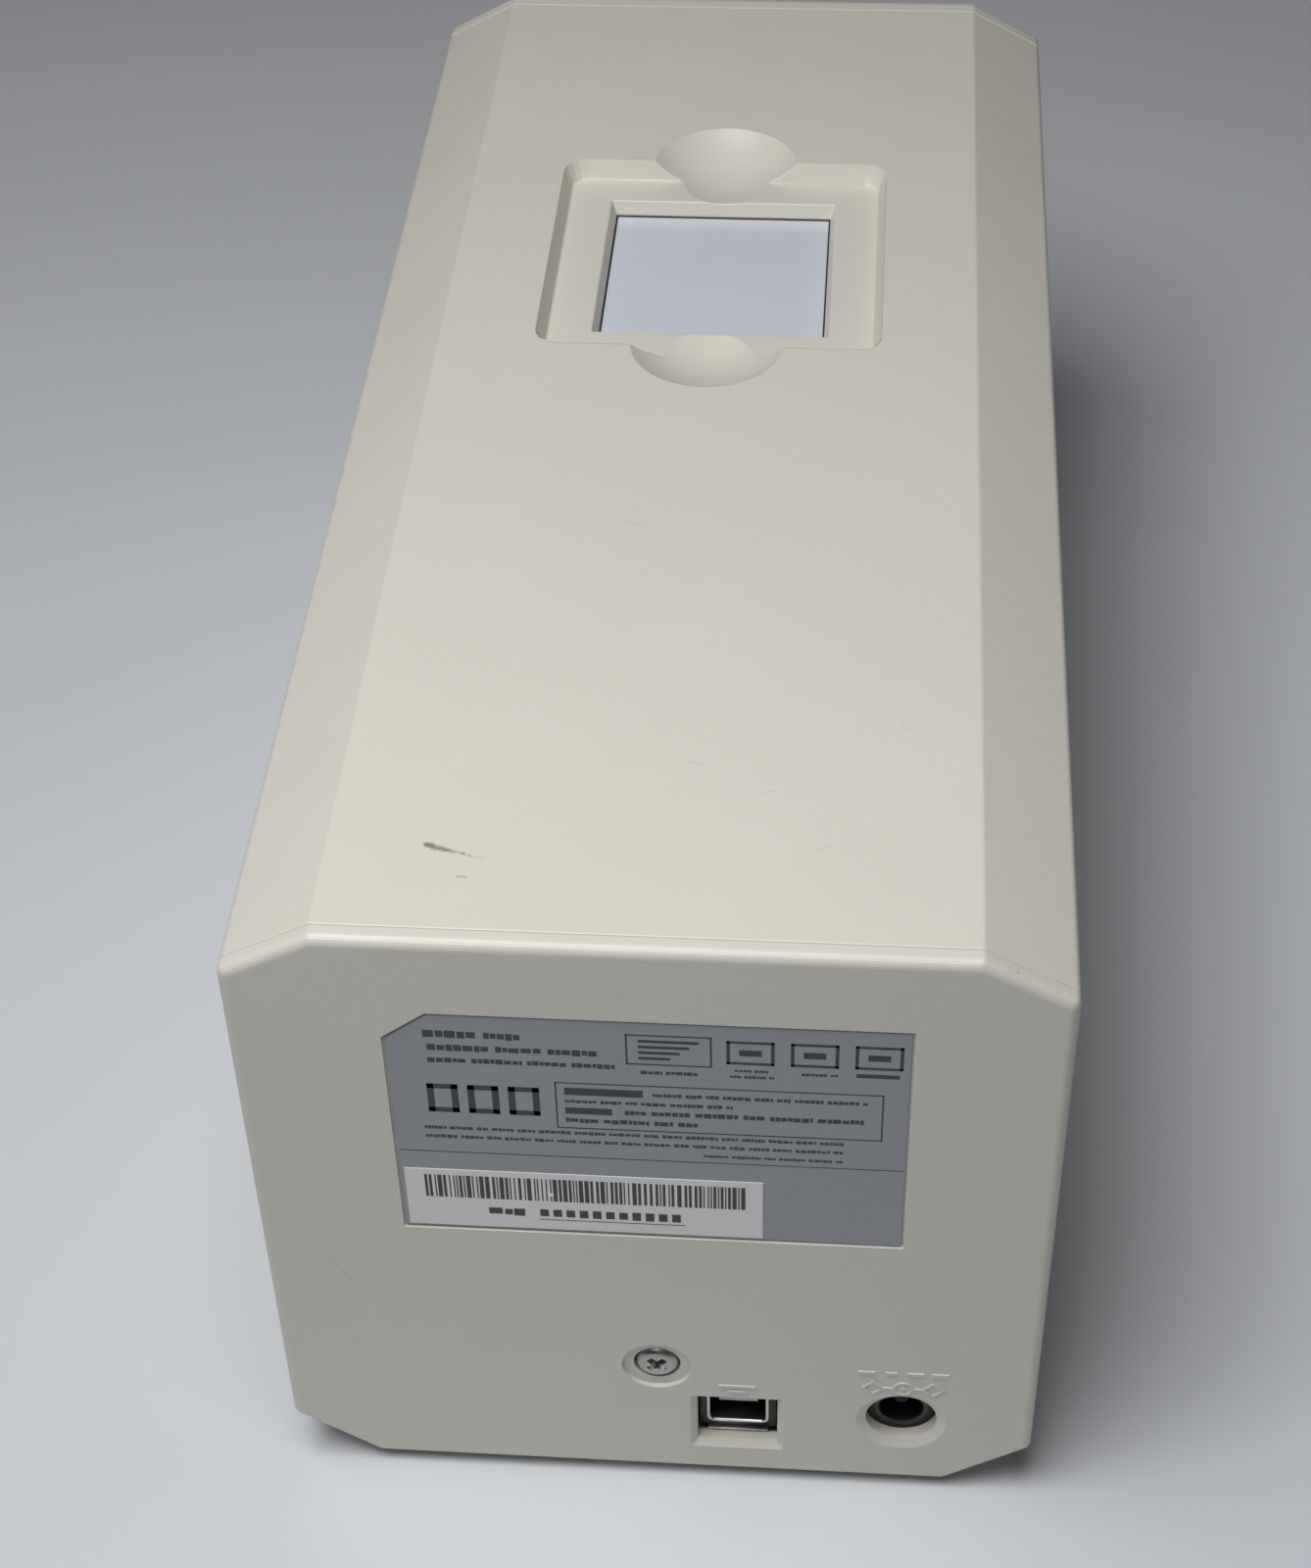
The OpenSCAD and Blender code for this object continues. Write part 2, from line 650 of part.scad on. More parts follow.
module film_guide_lower() {
  half = channel_l / 2 + rail_t;
  color("#2e2f32") difference() {
    union() {
      block([-guide_x, view_y - half, guide_z0], [guide_x, view_y + half, guide_z0 + guide_t]);
      for (s = [-1, 1]) block(
        [-guide_x, view_y + s * (half - rail_t / 2) - rail_t / 2, guide_z0],
        [guide_x, view_y + s * (half - rail_t / 2) + rail_t / 2, guide_z0 + guide_t + channel_h]);
    }
    block([-20, view_y - 15, guide_z0 - 1], [20, view_y + 15, guide_z0 + guide_t + 1]);
    for (p = guide_screw_places()) post(p, guide_z0 - 1, guide_z0 + guide_t + channel_h + 1, 0.8);
  }
}

function guide_screw_places() =
  [for (x = [-38, 38], s = [-1, 1]) [x, view_y + s * (channel_l + rail_t) / 2]];

module film_guide_upper() {
  half = channel_l / 2 + rail_t;
  z0 = guide_z0 + guide_t + channel_h;
  color("#34353a") difference() {
    block([-guide_x, view_y - half, z0], [guide_x, view_y + half, z0 + guide_t]);
    block([-20, view_y - 15, z0 - 1], [20, view_y + 15, z0 + guide_t + 1]);
    for (p = guide_screw_places()) post(p, z0 - 1, z0 + guide_t + 1, 0.95);
  }
}

module film_guide_screws() {
  z0 = guide_z0 + 2 * guide_t + channel_h;
  color("#a9a9a4") for (p = guide_screw_places()) screw_down([p[0], p[1], z0], 1.6, 1.2, 0.75, 9);
}

// A leaf that clicks into the holder's notches, lying along the lower guide's side rail.
module detent_spring() {
  y0 = view_y + channel_l / 2 - 0.5;
  leaf = concat([[-18, 0.35], [-6, 0.2]], arc([0, 3.2], 4.3, 222, 318), [[6, 0.2], [18, 0.35]]);
  color("#bdbdb8") translate([0, y0, film_z - 1.5]) linear_extrude(3) polygon(ribbon(leaf, 0.3));
}

// ---------- lamp ----------

module lamp_housing() {
  z0 = guide_z0 + 2 * guide_t + channel_h;
  z1 = z_top - 12.6;
  color("#e4e3de") difference() {
    block([-28, view_y - 27, z0], [28, view_y + 27, z1]);
    block([-26.4, view_y - 25.4, z0 - 1], [26.4, view_y + 25.4, z1 + 1]);
    for (s = [-1, 1]) rod_x_at([-30, view_y + s * 18, z0 + 15], 2.7, 60);
  }
}

module lamp_tubes() {
  z = guide_z0 + 2 * guide_t + channel_h + 15;
  color("#f2f0e8") for (s = [-1, 1]) rod_x_at([-24, view_y + s * 18, z], 1.5, 48);
}

module lamp_end_holders() {
  z = guide_z0 + 2 * guide_t + channel_h + 15;
  color("#d9d4c6") for (s = [-1, 1]) both_sides() difference() {
    union() {
      rod_x_at([22, view_y + s * 18, z], 2.6, 8);
      rod_x_at([28.1, view_y + s * 18, z], 3.6, 1.9);
    }
    rod_x_at([21, view_y + s * 18, z], 1.55, 3.1);
  }
}

module lamp_diffuser() {
  z0 = guide_z0 + 2 * guide_t + channel_h;
  color("#eef0f2") block([-26.2, view_y - 25.2, z0], [26.2, view_y + 25.2, z0 + 1.5]);
}

module inverter_board() {
  y0 = view_y + 27.6;
  z0 = guide_z0 + 2 * guide_t + channel_h + 3;
  color("#3a7550") union() {
    block([-27, y0, z0], [27, y0 + 1.2, z0 + 22]);
    block([-20, y0 + 1, z0 + 4], [-6, y0 + 9, z0 + 18]);
    block([2, y0 + 1, z0 + 6], [12, y0 + 6, z0 + 15]);
    rod_y_at([20, y0 + 1, z0 + 11], 4, 8);
  }
}

// ---------- chassis and drive ----------

module chassis() {
  color("#3d3f43") difference() {
    union() {
      block([-tray_x, -wall_y - wall_t, tray_z], [tray_x, wall_y + wall_t, tray_z + tray_t]);
      block([-tray_x, -wall_y - wall_t, tray_z], [tray_x, -wall_y, 50]);
      block([-tray_x, wall_y, tray_z], [tray_x, wall_y + wall_t, 63]);
      both_sides() block([tray_x - 2, view_y - 37, tray_z], [tray_x, view_y + 37, guide_z0]);
      rod_y_at([0, wall_y, rear_screw_z], 4.5, y_rear - rear_rim - 1.6 - wall_y);
      for (x = [-8, 8]) block([x - 1, wall_y, tray_z + 1], [x + 1, wall_y + wall_t + 5, 34]);
    }
    for (p = case_posts) post(p, tray_z - 1, tray_z + tray_t + 1, 5);
    for (p = chassis_posts) post(p, tray_z - 1, tray_z + tray_t + 1, 1.7);
    for (x = [-rod_x, rod_x])
      rod_y_at([x, -wall_y - wall_t - 1, rod_z], rod_r + 0.02, 2 * (wall_y + wall_t + 1));
    rod_y_at([screw_x, -wall_y - wall_t - 1, screw_z], 4.02, wall_t + 2);
    rod_y_at([screw_x, wall_y - 1, screw_z], 4.02, wall_t + 2);
    rod_y_at([screw_x, wall_y - 1, screw_z + gear_gap], 4, wall_t + 2);
    rod_y_at([0, wall_y + 3, rear_screw_z], 1.5, 20);
    block([-9, 69, tray_z - 1], [9, 77, tray_z + tray_t + 1]);
    for (s = [-1, 1]) rod_y_at([screw_x + s * 14, wall_y - 1, screw_z + gear_gap], 1.25, wall_t + 2);
  }
}

// The screws that hold the chassis, the main board and the viewer's retainer.
module inner_screws() {
  color("#a5a5a0") {
    for (p = chassis_posts) screw_down([p[0], p[1], tray_z + tray_t], 2.8, 1.8, 1.45, 11);
    for (p = board_posts) screw_down([p[0], p[1], board_top], 2.3, 1.4, 1.05, 5);
    for (x = [-15, 15], z = [36, 88]) translate([x, control_y + board_t, z]) rotate([-90, 0, 0])
      screw_down([0, 0, 0], 2, 1.2, 0.95, 6.5);
    for (p = retainer_screws())
      translate([p[0], p[1], z_top - 11.2]) mirror([0, 0, 1]) screw_down([0, 0, 0], 2, 1.2, 0.95, 5);
  }
}

module guide_rods() {
  color("#c4c5c7") for (s = [-1, 1])
    rod_y_at([s * rod_x, -wall_y - wall_t, rod_z], rod_r, 2 * (wall_y + wall_t));
}

// A fork sensor that the sled's flag blocks when the sled is parked.
module home_sensor() {
  color("#1d1d20") difference() {
    block([28.5, sled_y1 - 31, tray_z + tray_t], [36, sled_y1 - 21, 42]);
    block([31.2, sled_y1 - 32, 33], [33.8, sled_y1 - 20, 43]);
  }
}

// The tray that carries the mirror, the lens and the sensor, drawn parked at the rear of its travel.
module optics_sled() {
  floor_z = rod_z - 4;
  back = (mirror_size[2] + 0.05) * [-sqrt(0.5), -sqrt(0.5)];
  half = mirror_size[1] / 2 * [sqrt(0.5), -sqrt(0.5)];
  centre = [mirror_y, optic_z];
  color("#26272a") difference() {
    union() {
      block([-sled_x, sled_y0, floor_z - 1.5], [sled_x, sled_y1, floor_z + 0.5]);
      both_sides() block([sled_x - 2, sled_y0, floor_z], [sled_x, sled_y1, sled_top]);
      block([-sled_x, sled_y1 - 2, floor_z], [sled_x, sled_y1, 36]);
      both_sides() for (y = [sled_y0 + 2, sled_y1 - 16])
        block([rod_x - 5, y, floor_z], [rod_x + 4, y + 12, rod_z + 5]);
      both_sides() block([mirror_size[0] / 2 - 1.5, ccd_y + 1.6, floor_z], [sled_x - 1, ccd_y + 3.6, 49]);
      along_x(2 - sled_x, sled_x - 2) polygon([
        [sled_y0, floor_z], centre + back + half + [3, floor_z + 1 - (centre + back + half)[1]],
        centre + back + half, centre + back - half, [sled_y0, (centre + back - half)[1] - 2]
      ]);
      for (y = [lens_y + 0.5, lens_y + 12.5])
        block([-lens_r - 1, y, floor_z], [lens_r + 1, y + 3, optic_z]);
      both_sides() block([lens_r + 1, lens_y + 4, floor_z], [lens_r + 5, lens_y + 11, optic_z - 0.5]);
      block([screw_x - 5.5, nut_y, screw_z - 6], [1 - sled_x, nut_y + 12, screw_z + 6]);
      block([screw_x - 1, nut_y, floor_z], [1 - sled_x, nut_y + 12, screw_z]);
      block([sled_x - 1, sled_y1 - 30, 44], [sled_x + 10, sled_y1 - 22, 46]);
      block([sled_x + 9, sled_y1 - 30, 34], [sled_x + 10, sled_y1 - 22, 46]);
    }
    for (s = [-1, 1]) rod_y_at([s * rod_x, sled_y0 - 1, rod_z], rod_r + 1.55, sled_y1 - sled_y0 + 2);
    rod_y_at([0, lens_y - 1, optic_z], lens_r + 0.05, 24);
    rod_y_at([screw_x, nut_y - 2, screw_z], 4.52, 16);
    for (s = [-1, 1]) post([s * 22, sled_y1 - 6], sled_top - 6, sled_top + 1, 0.6);
  }
}

module scan_mirror() {
  w = mirror_size[0] / 2;
  l = mirror_size[1] / 2;
  color("#c9d3dc") translate([0, mirror_y, optic_z]) rotate([-45, 0, 0])
    block([-w, -l, -mirror_size[2]], [w, l, 0]);
}

module sled_cover() {
  color("#1f2023") difference() {
    block([-sled_x, mirror_y + 13, sled_top], [sled_x, sled_y1, sled_top + 1.2]);
    for (s = [-1, 1]) post([s * 22, sled_y1 - 6], sled_top - 1, sled_top + 2, 0.6);
  }
}

module lens_barrel() {
  color("#17181a") difference() {
    union() {
      rod_y_at([0, lens_y, optic_z], lens_r, 16);
      rod_y_at([0, lens_y - 4, optic_z], lens_r - 1.5, 24);
    }
    rod_y_at([0, lens_y - 5, optic_z], lens_r - 2.9, 26);
  }
}

module lens_glass() {
  color("#9fb6cf") for (y = [lens_y - 2, lens_y + 16]) rod_y_at([0, y, optic_z], lens_r - 2.95, 2.4);
}

module lens_clamp() {
  color("#b4b4ae") difference() {
    union() {
      rod_y_at([0, lens_y + 5, optic_z], lens_r + 0.85, 5);
      block([-lens_r - 5, lens_y + 5, optic_z - 0.5], [lens_r + 5, lens_y + 10, optic_z + 0.7]);
    }
    rod_y_at([0, lens_y + 4, optic_z], lens_r + 0.05, 7);
    block([-20, lens_y + 4, optic_z - 12], [20, lens_y + 11, optic_z - 0.5]);
  }
}

module ccd_board() {
  color("#2c6e48") union() {
    block([-20, ccd_y, 35], [20, ccd_y + 1.6, 50]);
    block([-9, ccd_y + 1.6, optic_z - 2.5], [9, ccd_y + 4.6, optic_z + 1.5]);
  }
}

module ccd_sensor() {
  color("#35363a") difference() {
    block([-19, ccd_y - 3, optic_z - 4.5], [19, ccd_y, optic_z + 4.5]);
    block([-17, ccd_y - 4, optic_z - 1.5], [17, ccd_y - 2, optic_z + 1.5]);
  }
}

module rod_bushings() {
  color("#b08d57") both_sides() for (y = [sled_y0 + 2, sled_y1 - 16]) difference() {
    rod_y_at([rod_x, y, rod_z], rod_r + 1.5, 12);
    rod_y_at([rod_x, y - 1, rod_z], rod_r + 0.05, 14);
  }
}

module lead_nut() {
  color("#c49a55") difference() {
    rod_y_at([screw_x, nut_y - 1.5, screw_z], 4.5, 15);
    rod_y_at([screw_x, nut_y - 3, screw_z], screw_r + 0.06, 20);
  }
}

module lead_screw() {
  color("#bfc0c2") union() {
    rod_y_at([screw_x, -wall_y + 1.2, screw_z], screw_r, 2 * wall_y - 2.4);
    rod_y_at([screw_x, -wall_y - wall_t, screw_z], journal_r, 2 * (wall_y + wall_t) + gear_w + 2);
  }
}

module screw_bearings() {
  color("#b58f52") for (y = [-wall_y - wall_t, wall_y]) difference() {
    union() {
      rod_y_at([screw_x, y, screw_z], 4, wall_t);
      rod_y_at([screw_x, y < 0 ? y + wall_t : y - 0.8, screw_z], 5, 0.8);
    }
    rod_y_at([screw_x, y - 2, screw_z], journal_r + 0.05, wall_t + 4);
  }
}

module screw_gear() {
  color("#d9d4c4") difference() {
    union() {
      translate([screw_x, gear_y + gear_w, screw_z]) rotate([90, 0, 0])
        linear_extrude(gear_w) polygon(gear_outline(gear_m, gear_teeth));
      rod_y_at([screw_x, gear_y - 0.6, screw_z], 4.5, 1);
    }
    rod_y_at([screw_x, gear_y - 2, screw_z], journal_r + 0.02, gear_w + 4);
  }
}

module scan_motor() {
  centre = [screw_x, 0, screw_z + gear_gap];
  color("#a7a9ab") difference() {
    union() {
      rod_y_at(centre + [0, wall_y - 18, 0], 10, 17);
      along_y(wall_y - 1, wall_y) polygon(rounded(rect(36, 9, [centre[0], centre[2]]), 4));
      block([screw_x - 6, wall_y - 16, centre[2] + 8], [screw_x + 6, wall_y - 4, centre[2] + 13]);
    }
    rod_y_at(centre + [0, wall_y - 19, 0], 1.1, 20);
    for (s = [-1, 1]) rod_y_at(centre + [s * 14, wall_y - 2, 0], 1.3, 3);
  }
}

module motor_shaft() {
  y0 = wall_y - 17;
  color("#c4c5c7") rod_y_at([screw_x, y0, screw_z + gear_gap], 1, gear_y + gear_w + 1 - y0);
}

module motor_pinion() {
  color("#b98f4c") difference() {
    translate([screw_x, gear_y + gear_w, screw_z + gear_gap]) rotate([90, 0, 0]) linear_extrude(gear_w)
      polygon([for (p = gear_outline(gear_m, pinion_teeth)) pinion_turn(p)]);
    rod_y_at([screw_x, gear_y - 2, screw_z + gear_gap], 1.02, gear_w + 4);
  }
}

// Turns the pinion so that one of its gaps faces the tooth that the big gear points at it.
function pinion_turn(p) =
  let (a = pinion_phase()) [p[0] * cos(a) - p[1] * sin(a), p[0] * sin(a) + p[1] * cos(a)];
function pinion_phase() =
  let (
    gear_pitch = 360 / gear_teeth, pinion_pitch = 360 / pinion_teeth,
    gear_off = 90 - gear_pitch * round(90 / gear_pitch)
  ) -90 + pinion_pitch / 2 + gear_off * gear_teeth / pinion_teeth;

// ---------- boards ----------

module main_board() {
  color("#2b7048") difference() {
    panel(rect(78, 96, [0, 66]), 2, board_top - board_t, board_top);
    for (p = case_posts) post(p, 0, 20, 4.8);
    for (p = chassis_posts) post(p, 0, 20, 4);
    for (p = board_posts) post(p, 0, 20, 1.3);
  }
}

module board_parts() {
  color("#2b2c2f") {
    block([-6, 44, board_top], [16, 66, board_top + 2]);
    block([-26, 48, board_top], [-14, 60, board_top + 1.6]);
    block([-9, 71.5, board_top], [9, 75.5, board_top + 3]);
    block([20, 76, board_top], [28, 90, board_top + 6]);
    for (x = [8, 17]) post([x, 92], board_top, board_top + 10, 3.6);
    for (i = [0:5]) block([-28 + i * 7, 30, board_top], [-25 + i * 7, 32, board_top + 1]);
  }
}

// The flat cable from the sensor board, over a rolling loop, to the main board.
module ccd_ribbon() {
  turn = [91, optic_z - 5];
  drop = [76, optic_z - 13];
  route = concat(
    [[ccd_y + 4.7, optic_z]], arc(turn, 5, 90, -90, 10), arc(drop, 3, 90, 180, 5),
    [[drop[0] - 3, board_top + 3.05]]
  );
  color("#d9dbe0") along_x(-8, 8) polygon(ribbon(route, 0.25));
}

top_shell();
base_shell();
rear_panel();
front_bezel();
control_plate();
viewer_window();
viewer_retainer();
rating_label();
serial_sticker();
rear_screw();
case_screws();
rubber_feet();
usb_shell();
usb_tongue();
dc_jack();
dc_center_pin();
power_button();
scan_button();
light_pipes();
control_board();
control_parts();
mirror([1, 0, 0]) slot_frame();  // slot_frame_left
slot_frame();  // slot_frame_right
mirror([1, 0, 0]) slot_flap();  // slot_flap_left
slot_flap();  // slot_flap_right
flap_pins();
flap_springs();
film_guide_lower();
film_guide_upper();
film_guide_screws();
detent_spring();
lamp_housing();
lamp_tubes();
lamp_end_holders();
lamp_diffuser();
inverter_board();
chassis();
inner_screws();
guide_rods();
home_sensor();
optics_sled();
sled_cover();
scan_mirror();
lens_barrel();
lens_glass();
lens_clamp();
ccd_board();
ccd_sensor();
rod_bushings();
lead_nut();
lead_screw();
screw_gear();
screw_bearings();
scan_motor();
motor_shaft();
motor_pinion();
main_board();
board_parts();
ccd_ribbon();
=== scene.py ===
"""A 35 mm film scanner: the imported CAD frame, dressed with its real finishes and small details.

Everything is in metres in the row frame: -Y is the front with its buttons, +Y the rear panel, +Z up.
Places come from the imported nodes' boxes, so a piece follows the CAD part that it belongs to.
"""

import math
import random

import bmesh
import bpy
from mathutils import Matrix, Vector


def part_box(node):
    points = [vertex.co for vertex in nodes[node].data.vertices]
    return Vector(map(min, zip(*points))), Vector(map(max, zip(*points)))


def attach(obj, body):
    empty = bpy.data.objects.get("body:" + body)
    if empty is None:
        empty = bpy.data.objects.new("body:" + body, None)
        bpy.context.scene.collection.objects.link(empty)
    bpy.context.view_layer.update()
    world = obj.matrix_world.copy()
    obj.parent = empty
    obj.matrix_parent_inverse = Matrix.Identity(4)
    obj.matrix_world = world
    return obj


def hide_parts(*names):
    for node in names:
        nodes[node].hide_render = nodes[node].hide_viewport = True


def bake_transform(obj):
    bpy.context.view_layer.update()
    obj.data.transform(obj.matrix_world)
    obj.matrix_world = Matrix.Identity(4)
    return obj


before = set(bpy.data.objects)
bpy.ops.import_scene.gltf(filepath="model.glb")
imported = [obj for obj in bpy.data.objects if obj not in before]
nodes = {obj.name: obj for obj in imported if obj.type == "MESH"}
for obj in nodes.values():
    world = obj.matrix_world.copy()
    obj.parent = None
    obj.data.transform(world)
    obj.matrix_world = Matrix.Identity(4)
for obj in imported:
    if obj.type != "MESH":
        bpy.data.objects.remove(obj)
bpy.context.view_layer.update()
MM = 0.001
scene = bpy.context.scene


# ---------- shader helpers ----------


class Shader:
    """A node material around one Principled shader, with short calls for the usual texture nodes."""

    def __init__(self, name, colour=(0.5, 0.5, 0.5), rough=0.5, metal=0.0, **inputs):
        self.material = bpy.data.materials.new(name)
        self.material.use_nodes = True
        self.tree = self.material.node_tree
        self.bsdf = self.tree.nodes["Principled BSDF"]
        self.set("Base Color", (*colour, 1.0))
        self.set("Roughness", rough)
        self.set("Metallic", metal)
        for key, value in inputs.items():
            self.set(key.replace("_", " "), value)
        self.coords = self.tree.nodes.new("ShaderNodeTexCoord").outputs["Object"]

    def set(self, socket, value):
        self.bsdf.inputs[socket].default_value = value

    def link(self, out, socket):
        self.tree.links.new(out, self.bsdf.inputs[socket])

    def feed(self, socket, value):
        """A socket's input, either another node's output or a plain value."""
        if isinstance(value, bpy.types.NodeSocket):
            self.tree.links.new(value, socket)
        else:
            socket.default_value = value

    def tone(self, factor, dark, light):
        self.link(self.mix(factor, dark, light), "Base Color")

    def gloss(self, value, low, high, start, end):
        self.link(self.ramp(value, low, high, start, end), "Roughness")

    def noise(self, scale, detail=3.0, rough=0.55, vector=None):
        made = self.tree.nodes.new("ShaderNodeTexNoise")
        for key, number in (("Scale", scale), ("Detail", detail), ("Roughness", rough)):
            made.inputs[key].default_value = number
        self.tree.links.new(vector or self.coords, made.inputs["Vector"])
        return made.outputs["Fac"]

    def cells(self, scale, feature="F1", distance="EUCLIDEAN"):
        made = self.tree.nodes.new("ShaderNodeTexVoronoi")
        made.feature = feature
        made.distance = distance
        made.inputs["Scale"].default_value = scale
        self.tree.links.new(self.coords, made.inputs["Vector"])
        return made.outputs["Distance"]

    def stretch(self, scale):
        made = self.tree.nodes.new("ShaderNodeMapping")
        made.inputs["Scale"].default_value = scale
        self.tree.links.new(self.coords, made.inputs["Vector"])
        return made.outputs["Vector"]

    def ramp(self, value, low, high, start=0.0, end=1.0):
        made = self.tree.nodes.new("ShaderNodeMapRange")
        made.interpolation_type = "SMOOTHSTEP"
        for key, number in (("From Min", low), ("From Max", high), ("To Min", start), ("To Max", end)):
            made.inputs[key].default_value = number
        self.tree.links.new(value, made.inputs["Value"])
        return made.outputs["Result"]

    def math(self, operation, a, b=0.0):
        made = self.tree.nodes.new("ShaderNodeMath")
        made.operation = operation
        for i, value in enumerate((a, b)):
            self.feed(made.inputs[i], value)
        return made.outputs[0]

    def vmath(self, operation, a, b=None, scale=None):
        made = self.tree.nodes.new("ShaderNodeVectorMath")
        made.operation = operation
        self.feed(made.inputs[0], a)
        if b is not None:
            self.feed(made.inputs[1], b)
        if scale is not None:
            self.tree.links.new(scale, made.inputs["Scale"])
        return made.outputs["Value"] if operation in ("DOT_PRODUCT", "LENGTH") else made.outputs["Vector"]

    def mix(self, factor, a, b):
        made = self.tree.nodes.new("ShaderNodeMix")
        made.data_type = "RGBA"
        self.tree.links.new(factor, made.inputs["Factor"])
        for socket, value in ((made.inputs[6], a), (made.inputs[7], b)):
            self.feed(socket, value if isinstance(value, bpy.types.NodeSocket) else (*value, 1.0))
        return made.outputs[2]

    def bump(self, height, strength, distance):
        made = self.tree.nodes.new("ShaderNodeBump")
        made.inputs["Strength"].default_value = strength
        made.inputs["Distance"].default_value = distance
        self.tree.links.new(height, made.inputs["Height"])
        self.link(made.outputs["Normal"], "Normal")


def plastic(name, colour, rough=0.5, grain=0.35, grain_scale=2400.0, tint=0.05, **inputs):
    """Moulded plastic: spark-eroded grain in the bump, and slow changes of tone and gloss from handling."""
    s = Shader(name, colour, rough, **inputs)
    slow = s.noise(9.0, 4.0, 0.6)
    fine = s.noise(grain_scale, 2.0, 0.6)
    dark = tuple(c * (1 - tint) for c in colour)
    light = tuple(min(1.0, c * (1 + tint * 0.6)) for c in colour)
    s.tone(s.math("ADD", s.math("MULTIPLY", slow, 0.75), s.math("MULTIPLY", fine, 0.25)), dark, light)
    s.gloss(s.noise(55.0, 5.0, 0.65), 0.3, 0.75, rough - 0.06, rough + 0.08)
    s.bump(s.math("ADD", fine, s.math("MULTIPLY", s.cells(grain_scale * 0.45), 0.6)), grain, 0.00006)
    return s


def metal(name, colour, rough=0.3, brush=(1.0, 40.0, 40.0), scale=300.0, depth=0.2, **inputs):
    """Metal with fine machining lines along one axis, and faint stains that also change its gloss."""
    s = Shader(name, colour, rough, 1.0, **inputs)
    lines = s.noise(scale, 4.0, 0.6, s.stretch(brush))
    stain = s.noise(120.0, 4.0, 0.6)
    s.gloss(s.math("ADD", lines, s.math("MULTIPLY", stain, 0.5)), 0.4, 1.1, rough * 0.7, rough * 1.5)
    s.tone(s.ramp(stain, 0.35, 0.7), tuple(c * 0.86 for c in colour), colour)
    s.bump(lines, depth, 0.00002)
    return s


def segment_mask(s, a, b, width, ragged=0.5, scale=1800.0, taper=0.0):
    """1 on a ragged mark between two points, thinner towards the second, and 0 away from it."""
    along = Vector(b) - Vector(a)
    offset = s.vmath("SUBTRACT", s.coords, tuple(a))
    share = s.math("DIVIDE", s.vmath("DOT_PRODUCT", offset, tuple(along)), along.length_squared)
    share = s.math("MINIMUM", s.math("MAXIMUM", share, 0.0), 1.0)
    foot = s.vmath("SCALE", tuple(along), scale=share)
    away = s.vmath("LENGTH", s.vmath("SUBTRACT", offset, foot))
    rough = s.math("MULTIPLY", s.noise(scale, 4.0, 0.7), width * ragged * 2)
    thinner = s.math("MULTIPLY", share, width * taper)
    return s.ramp(s.math("ADD", s.math("ADD", away, thinner), rough), width * 0.75, width * 1.25, 1.0, 0.0)


# ---------- materials ----------

IVORY = (0.735, 0.711, 0.622)


def case_ivory():
    """The scanner's ivory moulding: spark grain, a slightly uneven tone, and the scuffs of use."""
    s = plastic("case_ivory", IVORY, 0.43, 0.38, 1500.0, 0.02, Coat_Weight=0.15, Coat_Roughness=0.35)
    base = s.bsdf.inputs["Base Color"].links[0].from_socket
    top = 0.110
    scuff = segment_mask(s, (0.0283, 0.1020, top), (0.0190, 0.1046, top), 0.0012, 0.6, 1500.0, 0.7)
    spot = segment_mask(s, (0.0238, 0.1073, top), (0.0228, 0.1074, top), 0.0005, 0.6, 900.0)
    corner = segment_mask(s, (-0.0405, 0.1186, 0.1092), (-0.0450, 0.1178, 0.1076), 0.0005, 0.6)
    scrapes = (
        ((0.0085, 0.0352, top), (0.0058, 0.0368, top)),
        ((-0.0030, 0.0848, top), (-0.0052, 0.0855, top)),
        ((-0.0132, 0.0903, top), (-0.0149, 0.0897, top)),
        ((-0.0200, 0.1004, top), (-0.0222, 0.0996, top)),
        ((-0.0304, 0.0765, top), (-0.0316, 0.0779, top)),
        ((0.0440, 0.1190, 0.0480), (0.0415, 0.1190, 0.0430)),
        ((-0.0395, 0.1190, 0.0520), (-0.0420, 0.1190, 0.0505)),
    )
    light = [segment_mask(s, a, b, 0.00016, 0.5, 2600.0) for a, b in scrapes]
    pale = light[0]
    for mask in light[1:]:
        pale = s.math("MAXIMUM", pale, mask)
    tone = s.mix(s.math("MULTIPLY", pale, 0.45), base, (0.50, 0.48, 0.43))
    tone = s.mix(s.math("MULTIPLY", corner, 0.5), tone, (0.34, 0.33, 0.31))
    tone = s.mix(s.math("MULTIPLY", scuff, 0.8), tone, (0.15, 0.14, 0.12))
    tone = s.mix(s.math("MULTIPLY", spot, 0.5), tone, (0.30, 0.30, 0.30))
    dust = s.ramp(s.noise(420.0, 5.0, 0.75), 0.66, 0.78, 0.0, 0.10)
    s.tone(dust, tone, (0.55, 0.54, 0.50))
    return s.material


def label_film():
    """Blue-grey printed polyester film with a faint woven sheen and slow dents from the adhesive below."""
    s = Shader("label_grey", (0.30, 0.32, 0.34), 0.40, Coat_Weight=0.3, Coat_Roughness=0.35)
    speckle = s.noise(2200.0, 3.0, 0.7)
    slow = s.noise(22.0, 3.0, 0.5)
    mottle = s.math("MULTIPLY", s.math("ADD", speckle, slow), 0.5)
    s.tone(mottle, (0.292, 0.314, 0.335), (0.372, 0.397, 0.418))
    s.gloss(slow, 0.3, 0.7, 0.36, 0.5)
    s.bump(s.math("ADD", s.math("MULTIPLY", slow, 3.0), s.math("MULTIPLY", speckle, 0.15)), 0.35, 0.0003)
    return s.material


